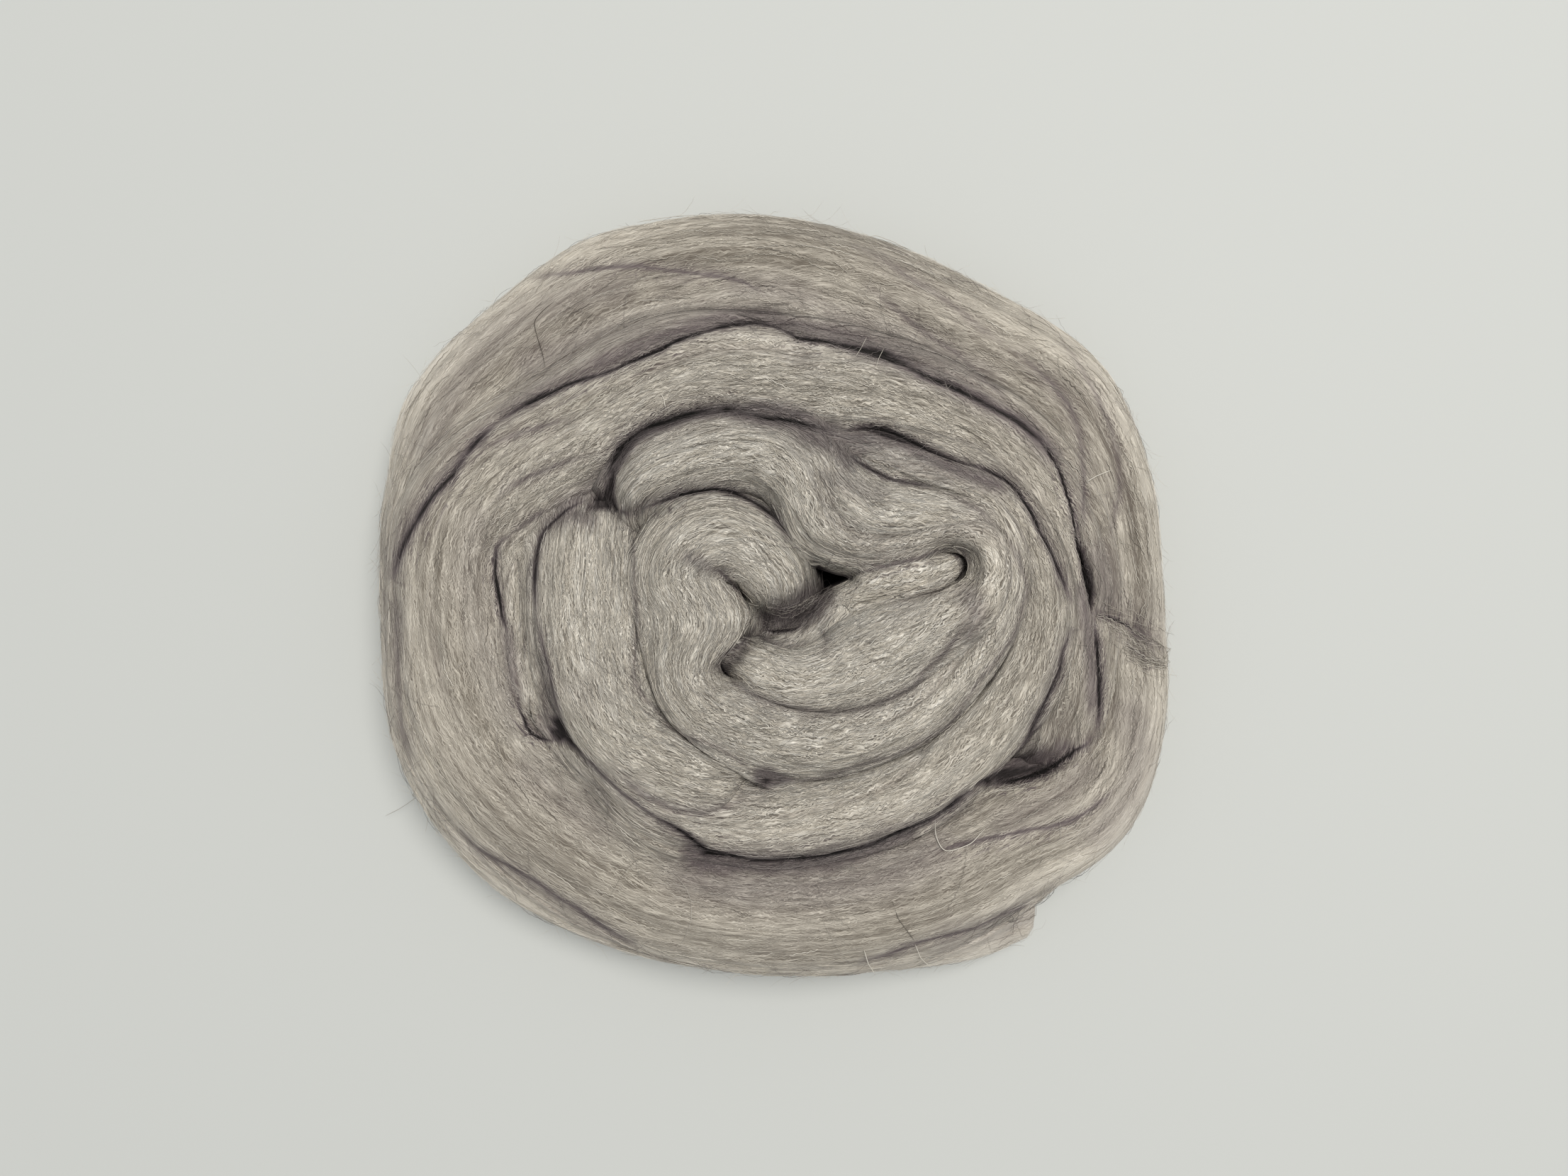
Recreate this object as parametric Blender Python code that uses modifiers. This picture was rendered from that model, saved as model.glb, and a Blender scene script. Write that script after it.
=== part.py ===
# Wool roving: one long band of combed wool, laid down as a coiled bundle.
# The loose end starts under the front. From there the band makes two turns, rising and overlapping
# itself, and ends in folds heaped in the middle. All of it is one band, so it is one solid.
# Metres, +Z up. The origin is in the middle of the footprint, on the surface that the bundle lies on.

import math
from collections import namedtuple

import bmesh
import bpy
from mathutils import Matrix, Vector

OBJECT_NAME = "wool_roving"
NODE_NAME = "roving_bundle"
MM = 0.001

# One row of a table is one cross-section of the band, in millimetres: the middle of the band seen
# from above, the height of its crown over the surface, how wide and how thick it is there, and how
# many degrees it leans, with the left-hand edge up as it is followed along.
Section = namedtuple("Section", "x y crown width thick lean")

OUTER_TURN = [
    Section(86, -102, 24, 24, 22, 0),
    Section(58, -109, 25, 28, 26, 0),
    Section(19, -114, 26, 30, 28, 0),
    Section(-24, -113, 26, 30, 28, 0),
    Section(-58, -106, 26, 30, 28, 0),
    Section(-91, -87, 28, 30, 30, 0),
    Section(-113, -53, 29, 30, 31, 0),
    Section(-119, -10, 30, 30, 32, 0),
    Section(-118, 28, 31, 32, 33, 0),
    Section(-108, 59, 32, 38, 34, 0),
    Section(-80, 84, 34, 44, 36, 0),
    Section(-48, 102, 35, 46, 37, 0),
    Section(-11, 109, 36, 43, 38, 0),
    Section(26, 101, 37, 42, 39, 0),
    Section(61, 85, 37, 40, 39, 0),
    Section(94, 65, 37, 38, 39, 0),
    Section(112, 35, 36, 31, 38, 0),
    Section(118, 4, 35, 27, 37, 0),
]

SECOND_TURN = [
    Section(119, -17, 36, 27, 38, 0),
    Section(119, -43, 36, 25, 38, 0),
    Section(104, -68, 36, 38, 38, 0),
    Section(78, -81, 38, 46, 38, 0),
    Section(46, -95, 39, 52, 40, 0),
    Section(5, -102, 39, 54, 40, 0),
    Section(-37, -95, 39, 54, 40, 0),
    Section(-73, -73, 40, 54, 41, 0),
    Section(-98, -42, 41, 52, 42, 0),
    Section(-106, -6, 43, 45, 43, 0),
    Section(-103, 21, 45, 44, 44, 0),
]

THIRD_TURN = [
    Section(-85, 40, 47, 44, 44, 0),
    Section(-60, 56, 48, 40, 42, 0),
    Section(-28, 71, 49, 37, 42, 0),
    Section(8, 70, 49, 37, 42, 0),
    Section(40, 65, 49, 32, 40, 0),
    Section(70, 52, 47, 27, 36, 0),
    Section(90, 32, 44, 25, 34, 0),
    Section(100, 8, 41, 21, 32, 0),
    Section(99, -20, 40, 20, 32, 0),
    Section(94, -41, 36, 22, 30, 0),
    Section(84, -58, 24, 22, 24, 0),
]

LOWER_LOOP = [
    Section(11, 47, 46, 22, 30, 0),
    Section(34, 45, 50, 21, 34, 0),
    Section(60, 37, 50, 20, 34, 0),
    Section(77, 22, 49, 20, 34, 0),
    Section(85, 0, 48, 22, 34, 0),
    Section(81, -21, 49, 24, 36, 0),
    Section(68, -41, 50, 27, 38, 0),
    Section(45, -60, 50, 28, 38, 0),
    Section(18, -69, 50, 29, 38, 0),
    Section(-9, -72, 49, 29, 38, 0),
    Section(-34, -64, 48, 30, 38, 0),
    Section(-56, -44, 44, 30, 36, 0),
    Section(-65, -20, 40, 30, 34, 0),
]

SIDE_STRIP = [
    Section(-77, 24, 30, 16, 26, 0),
    Section(-83, 8, 37, 17, 30, 0),
    Section(-82, -14, 38, 17, 30, 0),
    Section(-78, -36, 36, 17, 30, 0),
    Section(-70, -54, 26, 16, 24, 0),
]

COLUMN = [
    Section(-59, 19, 40, 30, 34, 0),
    Section(-60, 9, 54, 33, 40, 0),
    Section(-60, -13, 57, 31, 40, 0),
    Section(-56, -31, 57, 31, 40, 0),
    Section(-46, -46, 56, 31, 40, 0),
    Section(-28, -56, 54, 27, 38, 0),
    Section(-11, -61, 48, 18, 34, 0),
]

ARCH = [
    Section(2, -12, 30, 22, 24, 0),
    Section(3, -2, 42, 25, 32, 0),
    Section(-3, 11, 54, 29, 36, 0),
    Section(-12, 17, 58, 31, 38, 0),
    Section(-23, 17, 60, 32, 38, 0),
    Section(-31, 9, 60, 30, 38, 0),
    Section(-27, -7, 60, 35, 38, 0),
    Section(-31, -24, 58, 26, 38, 0),
    Section(-21, -37, 57, 25, 38, 0),
    Section(2, -46, 57, 25, 38, 0),
    Section(27, -44, 57, 21, 38, 0),
    Section(49, -33, 56, 18, 36, 0),
    Section(65, -14, 54, 16, 34, 0),
    Section(72, 5, 53, 14, 32, 0),
    Section(67, 23, 52, 14, 30, 0),
    Section(48, 33, 46, 14, 26, 0),
]

UPPER_LOOP = [
    Section(-45, 26, 38, 20, 28, 0),
    Section(-41, 37, 54, 25, 36, 0),
    Section(-25, 44, 59, 26, 38, 0),
    Section(-7, 43, 60, 26, 38, 0),
    Section(9, 35, 60, 28, 38, 0),
    Section(19, 22, 60, 28, 38, 0),
    Section(37, 22, 60, 26, 38, 0),
    Section(55, 22, 59, 18, 36, 0),
    Section(66, 12, 57, 13, 34, 0),
    Section(61, 1, 58, 15, 34, 0),
    Section(48, -10, 60, 24, 38, 0),
    Section(31, -19, 60, 31, 38, 0),
    Section(10, -26, 58, 21, 36, 0),
    Section(-8, -21, 50, 15, 32, 0),
    Section(-21, -18, 36, 14, 24, 0),
]

INNER_TONGUE = [
    Section(58, 11, 46, 8, 24, 0),
    Section(48, 7, 53, 13, 30, 0),
    Section(34, 3, 54, 12, 30, 0),
    Section(21, -2, 52, 12, 30, 0),
    Section(14, -10, 50, 12, 28, 0),
    Section(3, -16, 44, 11, 26, 0),
]

BAND_TABLES = [
    OUTER_TURN + SECOND_TURN + THIRD_TURN,
    LOWER_LOOP,
    SIDE_STRIP,
    COLUMN,
    ARCH,
    UPPER_LOOP,
    INNER_TONGUE,
]

# The middle of the footprint in the tables' own X and Y. It is taken off every section, so that the
# origin is there.
FOOTPRINT_MIDDLE = (-1.1, 0.4)

# The turns underneath press together into one layer that no light reaches.
UNDER_LAYER_RADIUS = 109
UNDER_LAYER_HEIGHT = 24

RING_SPACING = 7
RING_POINTS = 18
SECTION_POWER = 2.15
END_RINGS = 4
VOXEL_SIZE = 2.2
KEPT_SHARE = 0.11
FLOOR_CUT_DEPTH = 30


def blend(before, start, end, after, t):
    """The value at t of 0 to 1 between start and end, on a smooth curve through all four."""
    slope_in = (end - before) / 2
    slope_out = (after - start) / 2
    rise = end - start
    return (
        start
        + slope_in * t
        + (3 * rise - 2 * slope_in - slope_out) * t**2
        + (slope_in + slope_out - 2 * rise) * t**3
    )


def smooth_sections(rows, spacing):
    """The rows of a table with in-between sections, about one every spacing millimetres."""
    padded = [rows[0]] + rows + [rows[-1]]
    found = []
    for i in range(1, len(rows)):
        four = padded[i - 1 : i + 3]
        length = math.dist(four[1][:2], four[2][:2])
        steps = max(2, round(length / spacing))
        for step in range(steps):
            found.append(Section(*(blend(*values, step / steps) for values in zip(*four))))
    found.append(rows[-1])
    return found


def centre(section):
    x = section.x - FOOTPRINT_MIDDLE[0]
    y = section.y - FOOTPRINT_MIDDLE[1]
    return Vector((x, y, section.crown - section.thick / 2))


def heading(sections, i):
    ahead = centre(sections[min(i + 1, len(sections) - 1)])
    behind = centre(sections[max(i - 1, 0)])
    return (ahead - behind).normalized()


def ring_matrix(section, middle, direction, shrink):
    """The frame of one cross-section: X to the band's right, Y through its thickness, Z along it."""
    side = direction.cross(Vector((0, 0, 1))).normalized()
    side.rotate(Matrix.Rotation(math.radians(section.lean), 3, direction))
    through = side.cross(direction)
    frame = Matrix((side, through, -direction)).transposed().to_4x4()
    size = Matrix.Diagonal((section.width / 2 * shrink, section.thick / 2 * shrink, 1, 1))
    return Matrix.Translation(middle) @ frame @ size


def add_ring(mesh, matrix):
    """A closed ring of edges, a little squarer than an oval."""
    made = bmesh.ops.create_circle(mesh, cap_ends=False, segments=RING_POINTS, radius=1)
    for vert in made["verts"]:
        x, y = vert.co.x, vert.co.y
        reach = (abs(x) ** SECTION_POWER + abs(y) ** SECTION_POWER) ** (1 / SECTION_POWER)
        vert.co = matrix @ (vert.co / reach)
    return list({edge for vert in made["verts"] for edge in vert.link_edges})


def add_band(mesh, rows):
    """One closed length of band through the rows of a table, with a rounded end at each end."""
    sections = smooth_sections(rows, RING_SPACING)
    rings = []
    for i, section in enumerate(sections):
        direction = heading(sections, i)
        middle = centre(section)
        if i == 0:
            rings += end_rings(mesh, section, middle, direction, -1)[::-1]
        rings.append(add_ring(mesh, ring_matrix(section, middle, direction, 1)))
        if i == len(sections) - 1:
            rings += end_rings(mesh, section, middle, direction, 1)
    for ring, following in zip(rings, rings[1:]):
        bmesh.ops.bridge_loops(mesh, edges=ring + following)
    for ring in (rings[0], rings[-1]):
        bmesh.ops.contextual_create(mesh, geom=ring)


def end_rings(mesh, section, middle, direction, way):
    """Rings that shrink along a quarter round, which closes an end softly."""
    reach = min(section.width, section.thick) / 3
    rings = []
    for step in range(1, END_RINGS):
        angle = math.radians(90) * step / END_RINGS
        place = middle + direction * (way * reach * math.sin(angle))
        rings.append(add_ring(mesh, ring_matrix(section, place, direction, math.cos(angle))))
    return rings


def add_under_layer(mesh):
    bmesh.ops.create_cone(
        mesh,
        cap_ends=True,
        segments=36,
        radius1=UNDER_LAYER_RADIUS,
        radius2=UNDER_LAYER_RADIUS - UNDER_LAYER_HEIGHT / 2,
        depth=UNDER_LAYER_HEIGHT + FLOOR_CUT_DEPTH / 3,
        matrix=Matrix.Translation((0, 0, UNDER_LAYER_HEIGHT / 2 - FLOOR_CUT_DEPTH / 6)),
    )


def wound_mesh():
    mesh = bmesh.new()
    for rows in BAND_TABLES:
        add_band(mesh, rows)
    add_under_layer(mesh)
    bmesh.ops.recalc_face_normals(mesh, faces=mesh.faces)
    bmesh.ops.scale(mesh, vec=(MM, MM, MM), verts=mesh.verts)
    data = bpy.data.meshes.new(NODE_NAME)
    mesh.to_mesh(data)
    mesh.free()
    return data


def wool_material():
    material = bpy.data.materials.new("grey_beige_wool")
    material.use_nodes = True
    shader = material.node_tree.nodes["Principled BSDF"]
    shader.inputs["Base Color"].default_value = (0.42, 0.38, 0.32, 1)
    shader.inputs["Roughness"].default_value = 0.95
    shader.inputs["Metallic"].default_value = 0
    return material


def new_collection(name):
    collection = bpy.data.collections.new(name)
    bpy.context.scene.collection.children.link(collection)
    return collection


def floor_cutter(collection):
    """Everything under the surface is cut away, which leaves the flat that the bundle rests on."""
    bpy.ops.mesh.primitive_cube_add(size=1)
    cutter = bpy.context.object
    cutter.name = "floor_cutter"
    cutter.data.transform(Matrix.Diagonal((0.4, 0.4, FLOOR_CUT_DEPTH * MM, 1)))
    cutter.location.z = -FLOOR_CUT_DEPTH * MM / 2
    for owner in cutter.users_collection:
        owner.objects.unlink(cutter)
    collection.objects.link(cutter)
    cutter.hide_render = True
    cutter.display_type = "WIRE"
    return cutter


def build_bundle(collection, cutter):
    bundle = bpy.data.objects.new(NODE_NAME, wound_mesh())
    collection.objects.link(bundle)
    bundle.data.materials.append(wool_material())
    joined = bundle.modifiers.new("one_skin", "REMESH")
    joined.mode = "VOXEL"
    joined.voxel_size = VOXEL_SIZE * MM
    joined.use_smooth_shade = True
    rounded = bundle.modifiers.new("rounded_steps", "SMOOTH")
    rounded.factor = 0.5
    rounded.iterations = 2
    fewer = bundle.modifiers.new("fewer_faces", "DECIMATE")
    fewer.ratio = KEPT_SHARE
    soft = bundle.modifiers.new("soft_creases", "SMOOTH")
    soft.factor = 0.4
    soft.iterations = 2
    flat = bundle.modifiers.new("flat_underside", "BOOLEAN")
    flat.operation = "DIFFERENCE"
    flat.solver = "EXACT"
    flat.object = cutter
    return bundle


def main():
    for obj in list(bpy.data.objects):
        bpy.data.objects.remove(obj, do_unlink=True)
    cutters = new_collection("cutters")
    parts = new_collection(OBJECT_NAME)
    build_bundle(parts, floor_cutter(cutters))


main()
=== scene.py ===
import math

import bmesh
import bpy
import numpy as np
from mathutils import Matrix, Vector
from mathutils.bvhtree import BVHTree


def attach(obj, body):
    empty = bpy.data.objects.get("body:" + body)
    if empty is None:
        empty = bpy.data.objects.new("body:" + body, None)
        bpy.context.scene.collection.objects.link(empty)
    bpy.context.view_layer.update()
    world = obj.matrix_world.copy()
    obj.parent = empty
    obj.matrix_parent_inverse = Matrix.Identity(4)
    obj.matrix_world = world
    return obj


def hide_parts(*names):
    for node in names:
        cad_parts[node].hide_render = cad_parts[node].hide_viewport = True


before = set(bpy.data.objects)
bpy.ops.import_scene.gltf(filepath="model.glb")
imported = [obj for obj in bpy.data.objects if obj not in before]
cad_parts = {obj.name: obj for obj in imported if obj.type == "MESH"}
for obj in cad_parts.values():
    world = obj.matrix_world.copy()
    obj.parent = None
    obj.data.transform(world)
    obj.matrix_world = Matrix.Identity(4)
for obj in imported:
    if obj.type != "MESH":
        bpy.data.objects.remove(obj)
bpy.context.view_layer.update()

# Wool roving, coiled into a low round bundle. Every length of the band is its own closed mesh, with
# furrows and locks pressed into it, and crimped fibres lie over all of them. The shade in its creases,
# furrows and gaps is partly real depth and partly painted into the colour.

node = "roving_bundle"
mm = 0.001
middle = np.array((-1.1, 0.4, 0.0))  # the tables' own X and Y at the middle of the footprint
up = np.array((0.0, 0.0, 1.0))
lens = np.array((2.75, 2.5, 430.0))  # where the lens hangs, in the tables' own X and Y


def smoothNoise(a, b, seed):  # soft hills and hollows between -1 and 1, one for each whole step of a and b
    table = np.random.default_rng(seed).uniform(-1, 1, (256, 256))
    a0, b0 = np.floor(a).astype(int), np.floor(b).astype(int)
    fa, fb = a - a0, b - b0
    fa, fb = fa * fa * (3 - 2 * fa), fb * fb * (3 - 2 * fb)

    def corner(i, j):
        return table[(a0 + i) % 256, (b0 + j) % 256]

    near = corner(0, 0) * (1 - fa) + corner(1, 0) * fa
    far = corner(0, 1) * (1 - fa) + corner(1, 1) * fa
    return near * (1 - fb) + far * fb


def seenPlaces(points):  # where the lens sees each point against the floor, in the tables' X and Y
    nearer = 1 - points[..., 2:3] / lens[2]
    return lens[:2] + (points[..., :2] + middle[:2] - lens[:2]) / nearer


def unit(vectors):
    return vectors / np.maximum(np.linalg.norm(vectors, axis=-1, keepdims=True), 1e-9)


def distances(line):  # how far along a line each of its points lies
    return np.concatenate(([0], np.cumsum(np.linalg.norm(np.diff(line, axis=0), axis=1))))


def placesAlong(line, even):  # the points of a flat line at these distances along it
    along, line = distances(line), np.array(line, float)
    return np.column_stack([np.interp(even, along, line[:, k]) for k in (0, 1)])


def smoothAlong(values, times):
    for _ in range(times):
        values[1:-1] = (values[:-2] + 2 * values[1:-1] + values[2:]) / 4
    return values


def nearLine(points, line):  # each point's distance to a line, how far along it is, its side, the length
    nearest, place = np.full(points.shape[:-1], 1e9), np.zeros(points.shape[:-1])
    side = np.ones(points.shape[:-1])
    line, done = np.array(line, float), 0
    for start, end in zip(line[:-1], line[1:]):
        away, step = points - start, end - start
        length = np.linalg.norm(step)
        t = np.clip((away @ step) / length**2, 0, 1)
        distance = np.linalg.norm(away - t[..., None] * step, axis=-1)
        left = np.sign(away[..., 1] * step[0] - away[..., 0] * step[1])
        closer = distance < nearest
        place, side = np.where(closer, done + t * length, place), np.where(closer, left, side)
        nearest = np.minimum(distance, nearest)
        done += length
    return nearest, place, side, done


def insideDistance(points, outline):  # how far inside an outline each point lies, less than 0 outside
    closed = np.array(outline + outline[:1], float)
    nearest, inside = nearLine(points, closed)[0], np.zeros(len(points), bool)
    for start, end in zip(closed[:-1], closed[1:]):
        crossed = (start[1] > points[:, 1]) != (end[1] > points[:, 1])
        slope = (end[0] - start[0]) / (end[1] - start[1] or 1e-9)
        inside ^= crossed & (points[:, 0] < start[0] + (points[:, 1] - start[1]) * slope)
    return np.where(inside, nearest, -nearest)


# the band is a path: rows of x, y, crown, width and thickness, in millimetres


def followRows(rows, spacing):  # the rows at even steps along one smooth curve through all of them
    rows = np.array(rows, float)
    padded = np.vstack((rows[0], rows, rows[-1]))
    fine = []
    t = np.linspace(0, 1, 24, endpoint=False)[:, None]
    for i in range(1, len(rows)):
        before, start, end, after = padded[i - 1 : i + 3]
        slopeIn, slopeOut, rise = (end - before) / 2, (after - start) / 2, end - start
        fine.append(
            start
            + slopeIn * t
            + (3 * rise - 2 * slopeIn - slopeOut) * t**2
            + (slopeIn + slopeOut - 2 * rise) * t**3
        )
    fine = np.vstack(fine + [rows[-1:]])
    places = fine[:, :3].copy()
    places[:, 2] -= fine[:, 4] / 2
    along = distances(places)
    even = np.linspace(0, along[-1], max(8, round(along[-1] / spacing)))
    return even, np.column_stack([np.interp(even, along, column) for column in fine.T])


def bandFrames(rows, spacing):  # the middle line, the way ahead, to the side and up, and the half sizes
    along, sections = followRows(rows, spacing)
    centre = sections[:, :3] - middle
    centre[:, 2] = sections[:, 2] - sections[:, 4] / 2
    smoothAlong(centre, 4)
    ahead = unit(np.gradient(centre, axis=0))
    side = unit(np.cross(ahead, up))
    return along, centre, ahead, side, np.cross(side, ahead), sections[:, 3] / 2, sections[:, 4] / 2


relief = {
    # how strong each is, how long and how wide its patches are in millimetres, and what it adds to the seed
    "drift": (5.0, 70, 60, 0),  # how far a lock wanders across the band
    "strength": (0.5, 45, 14, 1),
    "broad": (1.1, 120, 11, 2),
    "narrow": (0.85, 85, 4.2, 3),
    "fine": (0.22, 40, 1.7, 4),
    "furrow": (1.0, 120, 13, 5),
    "opened": (1.6, 50, 17, 6),  # where the long furrows open
    "leastStrength": 0.65,
    "furrowDepth": 1.8,
    "furrowEdge": 0.09,
}


def bandRelief(along, across, seed):  # how far out the wool stands, and where the long furrows run
    def patches(name, lane):
        strong, length, width, own = relief[name]
        return strong * smoothNoise(along / length, lane / width, seed + own)

    drifted = across + patches("drift", across)
    furrow = np.exp(-((patches("furrow", drifted) / relief["furrowEdge"]) ** 2))
    furrow = furrow * np.clip(patches("opened", across), 0, 1)
    height = patches("broad", drifted) * (relief["leastStrength"] + patches("strength", across))
    height += patches("narrow", drifted)
    height += patches("fine", drifted) - relief["furrowDepth"] * furrow
    return height, furrow


section = {
    "power": 2.4,  # 2 is an oval, more is squarer
    "crowding": 0.11,  # how much closer the points of a ring lie underneath
    "endRound": 12.0,  # over this length an end closes
}


def bandSurface(spec):  # one closed length of band, as rings of points
    along, centre, ahead, side, top, halfWidth, halfThick = bandFrames(spec["rows"], spec["step"])
    t = np.linspace(0, 1, spec["around"] + 1)
    turn = -math.pi / 2 + 2 * math.pi * (t - section["crowding"] * np.sin(2 * math.pi * t))
    c, s = np.cos(turn), np.sin(turn)
    power = section["power"]
    reach = (np.abs(c) ** power + np.abs(s) ** power) ** (-1 / power)
    shrink = np.ones(len(along))
    for end, distance in (("startRound", along), ("endRound", along[-1] - along)):
        inside = np.clip(1 - distance / spec.get(end, section["endRound"]), 0, 1)
        shrink *= np.sqrt(np.clip(1 - inside**2, 0, 1))
    wide = (halfWidth * shrink)[:, None] * (c * reach)[None, :]
    high = (halfThick * shrink)[:, None] * (s * reach)[None, :]
    points = centre[:, None] + side[:, None] * wide[..., None] + top[:, None] * high[..., None]
    for x, y, radius, pushX, pushY in spec.get("pushes", ()):
        far = np.hypot(points[..., 0] + middle[0] - x, points[..., 1] + middle[1] - y) / radius
        points[..., :2] += np.exp(-(far**2))[..., None] * np.array((pushX, pushY))
    outward = side[:, None] * (c / halfWidth[:, None])[..., None]
    outward = unit(outward + top[:, None] * (s / halfThick[:, None])[..., None])
    stepAround = np.linalg.norm(np.diff(points, axis=1), axis=2)
    across = np.concatenate((np.zeros((len(along), 1)), np.cumsum(stepAround, axis=1)), axis=1)
    across -= across[:, -1:] / 2
    grown = np.broadcast_to(along[:, None], across.shape)
    surface = {"points": points, "along": grown, "across": across}
    return {**surface, "outward": outward, "shrink": shrink, "rise": s}


# bands that press on each other: where two meet, both swell until the groove between them is a soft one
press = {
    "softness": 10.0,  # how far from a groove the swelling starts, in millimetres
    "sampleStep": 5.0,
    "runLength": 240.0,
    "runFade": 4,  # in samples
    "ownReach": 62.0,  # a band isn't its own neighbour nearer than this along it
    "ownFade": 30.0,
    "farthest": 60.0,  # no neighbour counts past this
    "endReach": 12.0,  # how far a cross-section reaches ahead of itself
    # places where a groove is softer: x, y, radius, softness
    "softPlaces": [
        (0, -33, 28, 18), (39, -31, 26, 17), (64, -13, 18, 15), (66, 34, 16, 13), (70, -27, 20, 13),
        (-36, -70, 22, 18), (43, -3, 20, 20), (8, -16, 16, 16), (-118, -62, 40, 16), (-122, 42, 30, 16),
        (-60, 92, 30, 15), (-2, -10, 18, 5), (-48, 26, 12, 6), (64, 14, 9, 6), (25, 27, 14, 20),
        (26, -8, 10, 20), (-17, -22, 10, 2.5), (20, 6, 9, 1.5),
    ],
}


def softnessAt(points):
    seen = seenPlaces(points)
    softness = np.full(len(points), press["softness"])
    for x, y, radius, value in press["softPlaces"]:
        far = np.hypot(seen[:, 0] - x, seen[:, 1] - y) / radius
        softness += (value - softness) * np.exp(-(far**4))
    return softness


def bandSamples(bands):  # every band's cross-sections, in runs that fade into each other
    runs = []
    for index, spec in enumerate(bands):
        frames = bandFrames(spec["rows"], press["sampleStep"])
        total = len(frames[0])
        pieces = max(1, round(frames[0][-1] / press["runLength"]))
        edges = np.linspace(0, total, pieces + 1).astype(int)
        fade = press["runFade"]
        for low, high in zip(edges[:-1], edges[1:]):
            part = np.arange(max(0, low - fade), min(total, high + fade))
            weight = np.ones(len(part))
            if low > 0:
                weight *= np.clip((part - low + fade) / (2 * fade), 0, 1)
            if high < total:
                weight *= np.clip((high + fade - part) / (2 * fade), 0, 1)
            runs.append((index, *(values[part] for values in frames), weight))
    return runs


def pressTogether(surface, index, runs):
    shape = surface["points"].shape
    points, outward = surface["points"].reshape(-1, 3), surface["outward"].reshape(-1, 3)
    along = surface["along"].ravel()
    softness = softnessAt(points)
    shift = np.zeros_like(points)
    clear = np.full(len(points), 99.0)
    power = section["power"]
    for owner, runAlong, centre, ahead, side, top, halfWidth, halfThick, weight in runs:
        squares = (points**2).sum(1)[:, None] + (centre**2).sum(1)[None, :] - 2 * points @ centre.T
        if owner == index:
            apart = np.abs(along[:, None] - runAlong[None, :])
            squares = np.where(apart < press["ownReach"], 1e9, squares)
        near = squares.argmin(1)
        share = weight[near]
        if owner == index:
            apart = np.abs(along - runAlong[near])
            share = share * np.clip((apart - press["ownReach"]) / press["ownFade"], 0, 1)
        usable = (squares[np.arange(len(points)), near] < press["farthest"] ** 2) & (share > 0)
        # the cross-section beside the nearest one is mixed in, so that nothing jumps from one to the next
        forward = np.where(((points - centre[near]) * ahead[near]).sum(1) > 0, 1, -1)
        other = np.clip(near + forward, 0, len(centre) - 1)
        chord = centre[other] - centre[near]
        between = ((points - centre[near]) * chord).sum(1) / np.maximum((chord**2).sum(1), 1e-6)
        between = np.clip(between, 0, 1)

        def mixed(values):
            part = between if values.ndim == 1 else between[:, None]
            return values[near] * (1 - part) + values[other] * part

        widths, thicks = mixed(halfWidth), mixed(halfThick)
        sides, tops, aheads = mixed(side), mixed(top), mixed(ahead)
        away = points - mixed(centre)
        a = (away * sides).sum(1) / widths
        b = (away * tops).sum(1) / thicks
        c = (away * aheads).sum(1) / press["endReach"]
        size = (np.abs(a) ** power + np.abs(b) ** power + np.abs(c) ** power) ** (1 / power)
        distance = np.linalg.norm(away, axis=1) * (1 - 1 / np.maximum(size, 0.05))
        clear = np.where(usable, np.minimum(clear, distance / np.maximum(share, 0.05)), clear)
        theirs = sides * (a / widths)[:, None] + tops * (b / thicks)[:, None]
        theirs = unit(theirs + aheads * (c / press["endReach"])[:, None])
        mine = np.clip(0.5 + 0.5 * distance / softness, 0, 1)[:, None]
        swell = np.clip(softness - np.abs(distance), 0, None) ** 2 / (4 * softness)
        pull = outward * mine + theirs * (1 - mine)
        pull /= np.maximum((pull**2).sum(1), 0.3)[:, None]
        shift += pull * (np.where(usable, swell, 0) * share)[:, None]
    surface["points"] = (points + shift).reshape(shape)
    surface["clear"] = clear.reshape(shape[:2])
    surface["crisp"] = (press["softness"] / softness).reshape(shape[:2])
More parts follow.
